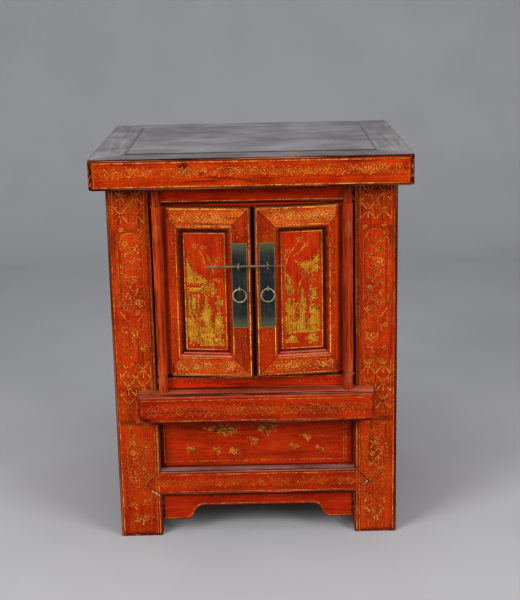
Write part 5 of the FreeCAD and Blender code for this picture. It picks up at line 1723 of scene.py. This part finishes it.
    def gild(self) -> None:
        """All gilding of the leaf: its frame, and a garden of rocks, trees and a low roof on the panel."""
        prefix, frame_face = f"{self.name}_", self.face(self.front)
        picture = self.face(self.panel_front, "leaf_painting")
        gild(prefix, frame_face, ("lines", GILT, self.frame_lines, HALO), ("scrolls", GILT, self.scrolls, 0.9),
             ("sprigs", FAINT_GILT, self.sprigs, 0.8))
        gild(prefix, picture, ("panel_line", GILT, self.panel_line, HALO))
        paint(f"{prefix}mitre_lines", frame_face, INK, self.mitres, height=0.16)
        paint(f"{prefix}bank", picture, PICTURE_GILT, self.bank, height=0.16)
        gild(prefix, picture, ("masses", PICTURE_GILT, self.masses, 0.8),
             ("brushwork", BRUSH_GILT, self.brushwork, 0.0), ("stems", BAND_GILT, self.stems, 0.8))
        paint(f"{prefix}ink", picture, INK, self.ink_work, height=0.30, foot=-0.18)
        paint(f"{prefix}lights", picture, GILT, self.lights, height=0.27, foot=-0.15)


# ------------------------------------------------------------------ stage


def show(name: str, data: bpy.types.ID) -> bpy.types.Object:
    """Put something new into the scene."""
    item = bpy.data.objects.new(name, data)
    bpy.context.scene.collection.objects.link(item)
    return item


LAMPS = (("left_lamp", (-2.2, -2.3, 2.1), 1.5, 94.0), ("right_lamp", (2.3, -2.3, 2.0), 1.5, 77.0),
         ("top_lamp", (0.0, -0.4, 3.0), 1.6, 36.0))
LIT_POINT = (0.0, 0.0, 0.42)
WORLD_COLOUR = (0.26, 0.27, 0.29, 1.0)


def build_lights() -> None:
    """Broad soft lamps at both front sides and overhead, and a faint even world."""
    for name, place, size, power in LAMPS:
        data = bpy.data.lights.new(name, "AREA")
        data.shape, data.size, data.energy = "SQUARE", size, power
        item = show(name, data)
        item.location = place
        item.rotation_euler = (Vector(LIT_POINT) - Vector(place)).to_track_quat("-Z", "Y").to_euler()
    world = bpy.data.worlds.new("studio")
    bpy.context.scene.world = world
    world.use_nodes = True
    shader = world.node_tree.nodes["Background"]
    shader.inputs["Color"].default_value = WORLD_COLOUR
    shader.inputs["Strength"].default_value = 1.0


def build_stage() -> None:
    """A pale floor that curves up into a backdrop: a profile carried along X, in metres."""
    start, radius, half, end = 2.2, 1.2, 7.0, 6.0
    turn = np.linspace(0.0, math.pi / 2, 24)
    curve = pairs(start + np.sin(turn) * radius, radius - np.cos(turn) * radius)
    profile = np.concatenate([np.array([[-end, 0.0]]), curve, np.array([[3.4, end]])])
    count = len(profile)
    across = np.repeat([-half, half], count)
    points = np.stack([across, np.tile(profile[:, 0], 2), np.tile(profile[:, 1], 2)], axis=-1)
    here = np.arange(count - 1)
    faces = np.stack([here, here + count, here + count + 1, here + 1], axis=-1)
    mesh = bpy.data.meshes.new("stage_floor")
    mesh.from_pydata(points.tolist(), [], faces.tolist())
    mesh.polygons.foreach_set("use_smooth", np.ones(len(faces), dtype=bool))
    floor = show("stage_floor", mesh)
    made = bpy.data.materials.new("stage")
    made.use_nodes = True
    graph = Graph(made.node_tree)
    shader = made.node_tree.nodes["Principled BSDF"]
    tone = graph.noise(graph.give("TexCoord", "Object"), 3.0, 2.0).fade(0.3, 0.7)
    graph.join(graph.mix(tone, (0.350, 0.350, 0.364), (0.372, 0.372, 0.384)), shader.inputs["Base Color"])
    shader.inputs["Roughness"].default_value = 0.9
    mesh.materials.append(made)


CAMERA_PLACE = (0.01227, -2.59867, 1.18002)
CAMERA_AXES = ((0.999796, -0.005376, -0.01945), (0.020167, 0.232918, 0.972287), (-0.000697, -0.972482, 0.232979))


def build_camera() -> None:
    """The camera that looks at the front from a little above."""
    data = bpy.data.cameras.new("camera")
    data.lens, data.sensor_width, data.shift_y = 72.56, 36.0, -0.07
    camera = show("camera", data)
    camera.matrix_world = Matrix.Translation(CAMERA_PLACE) @ Matrix(CAMERA_AXES).transposed().to_4x4()
    bpy.context.scene.camera = camera


def main() -> None:
    """Build the looks of every sub-assembly in order."""
    logging.basicConfig(level=logging.INFO, format="%(name)s: %(message)s")
    bpy.context.scene.view_settings.view_transform = "Standard"
    for part in (TopSlab(), FrontPosts(), FrontRails(), DoorLeaf("left_door", -1.0), DoorLeaf("right_door", 1.0)):
        part.dress()
        part.gild()
    Carcass().dress()
    dress_nodes(PIN_BRASS, "lock_pin")
    build_stage()
    build_lights()
    build_camera()


if __name__ == "__main__":
    main()
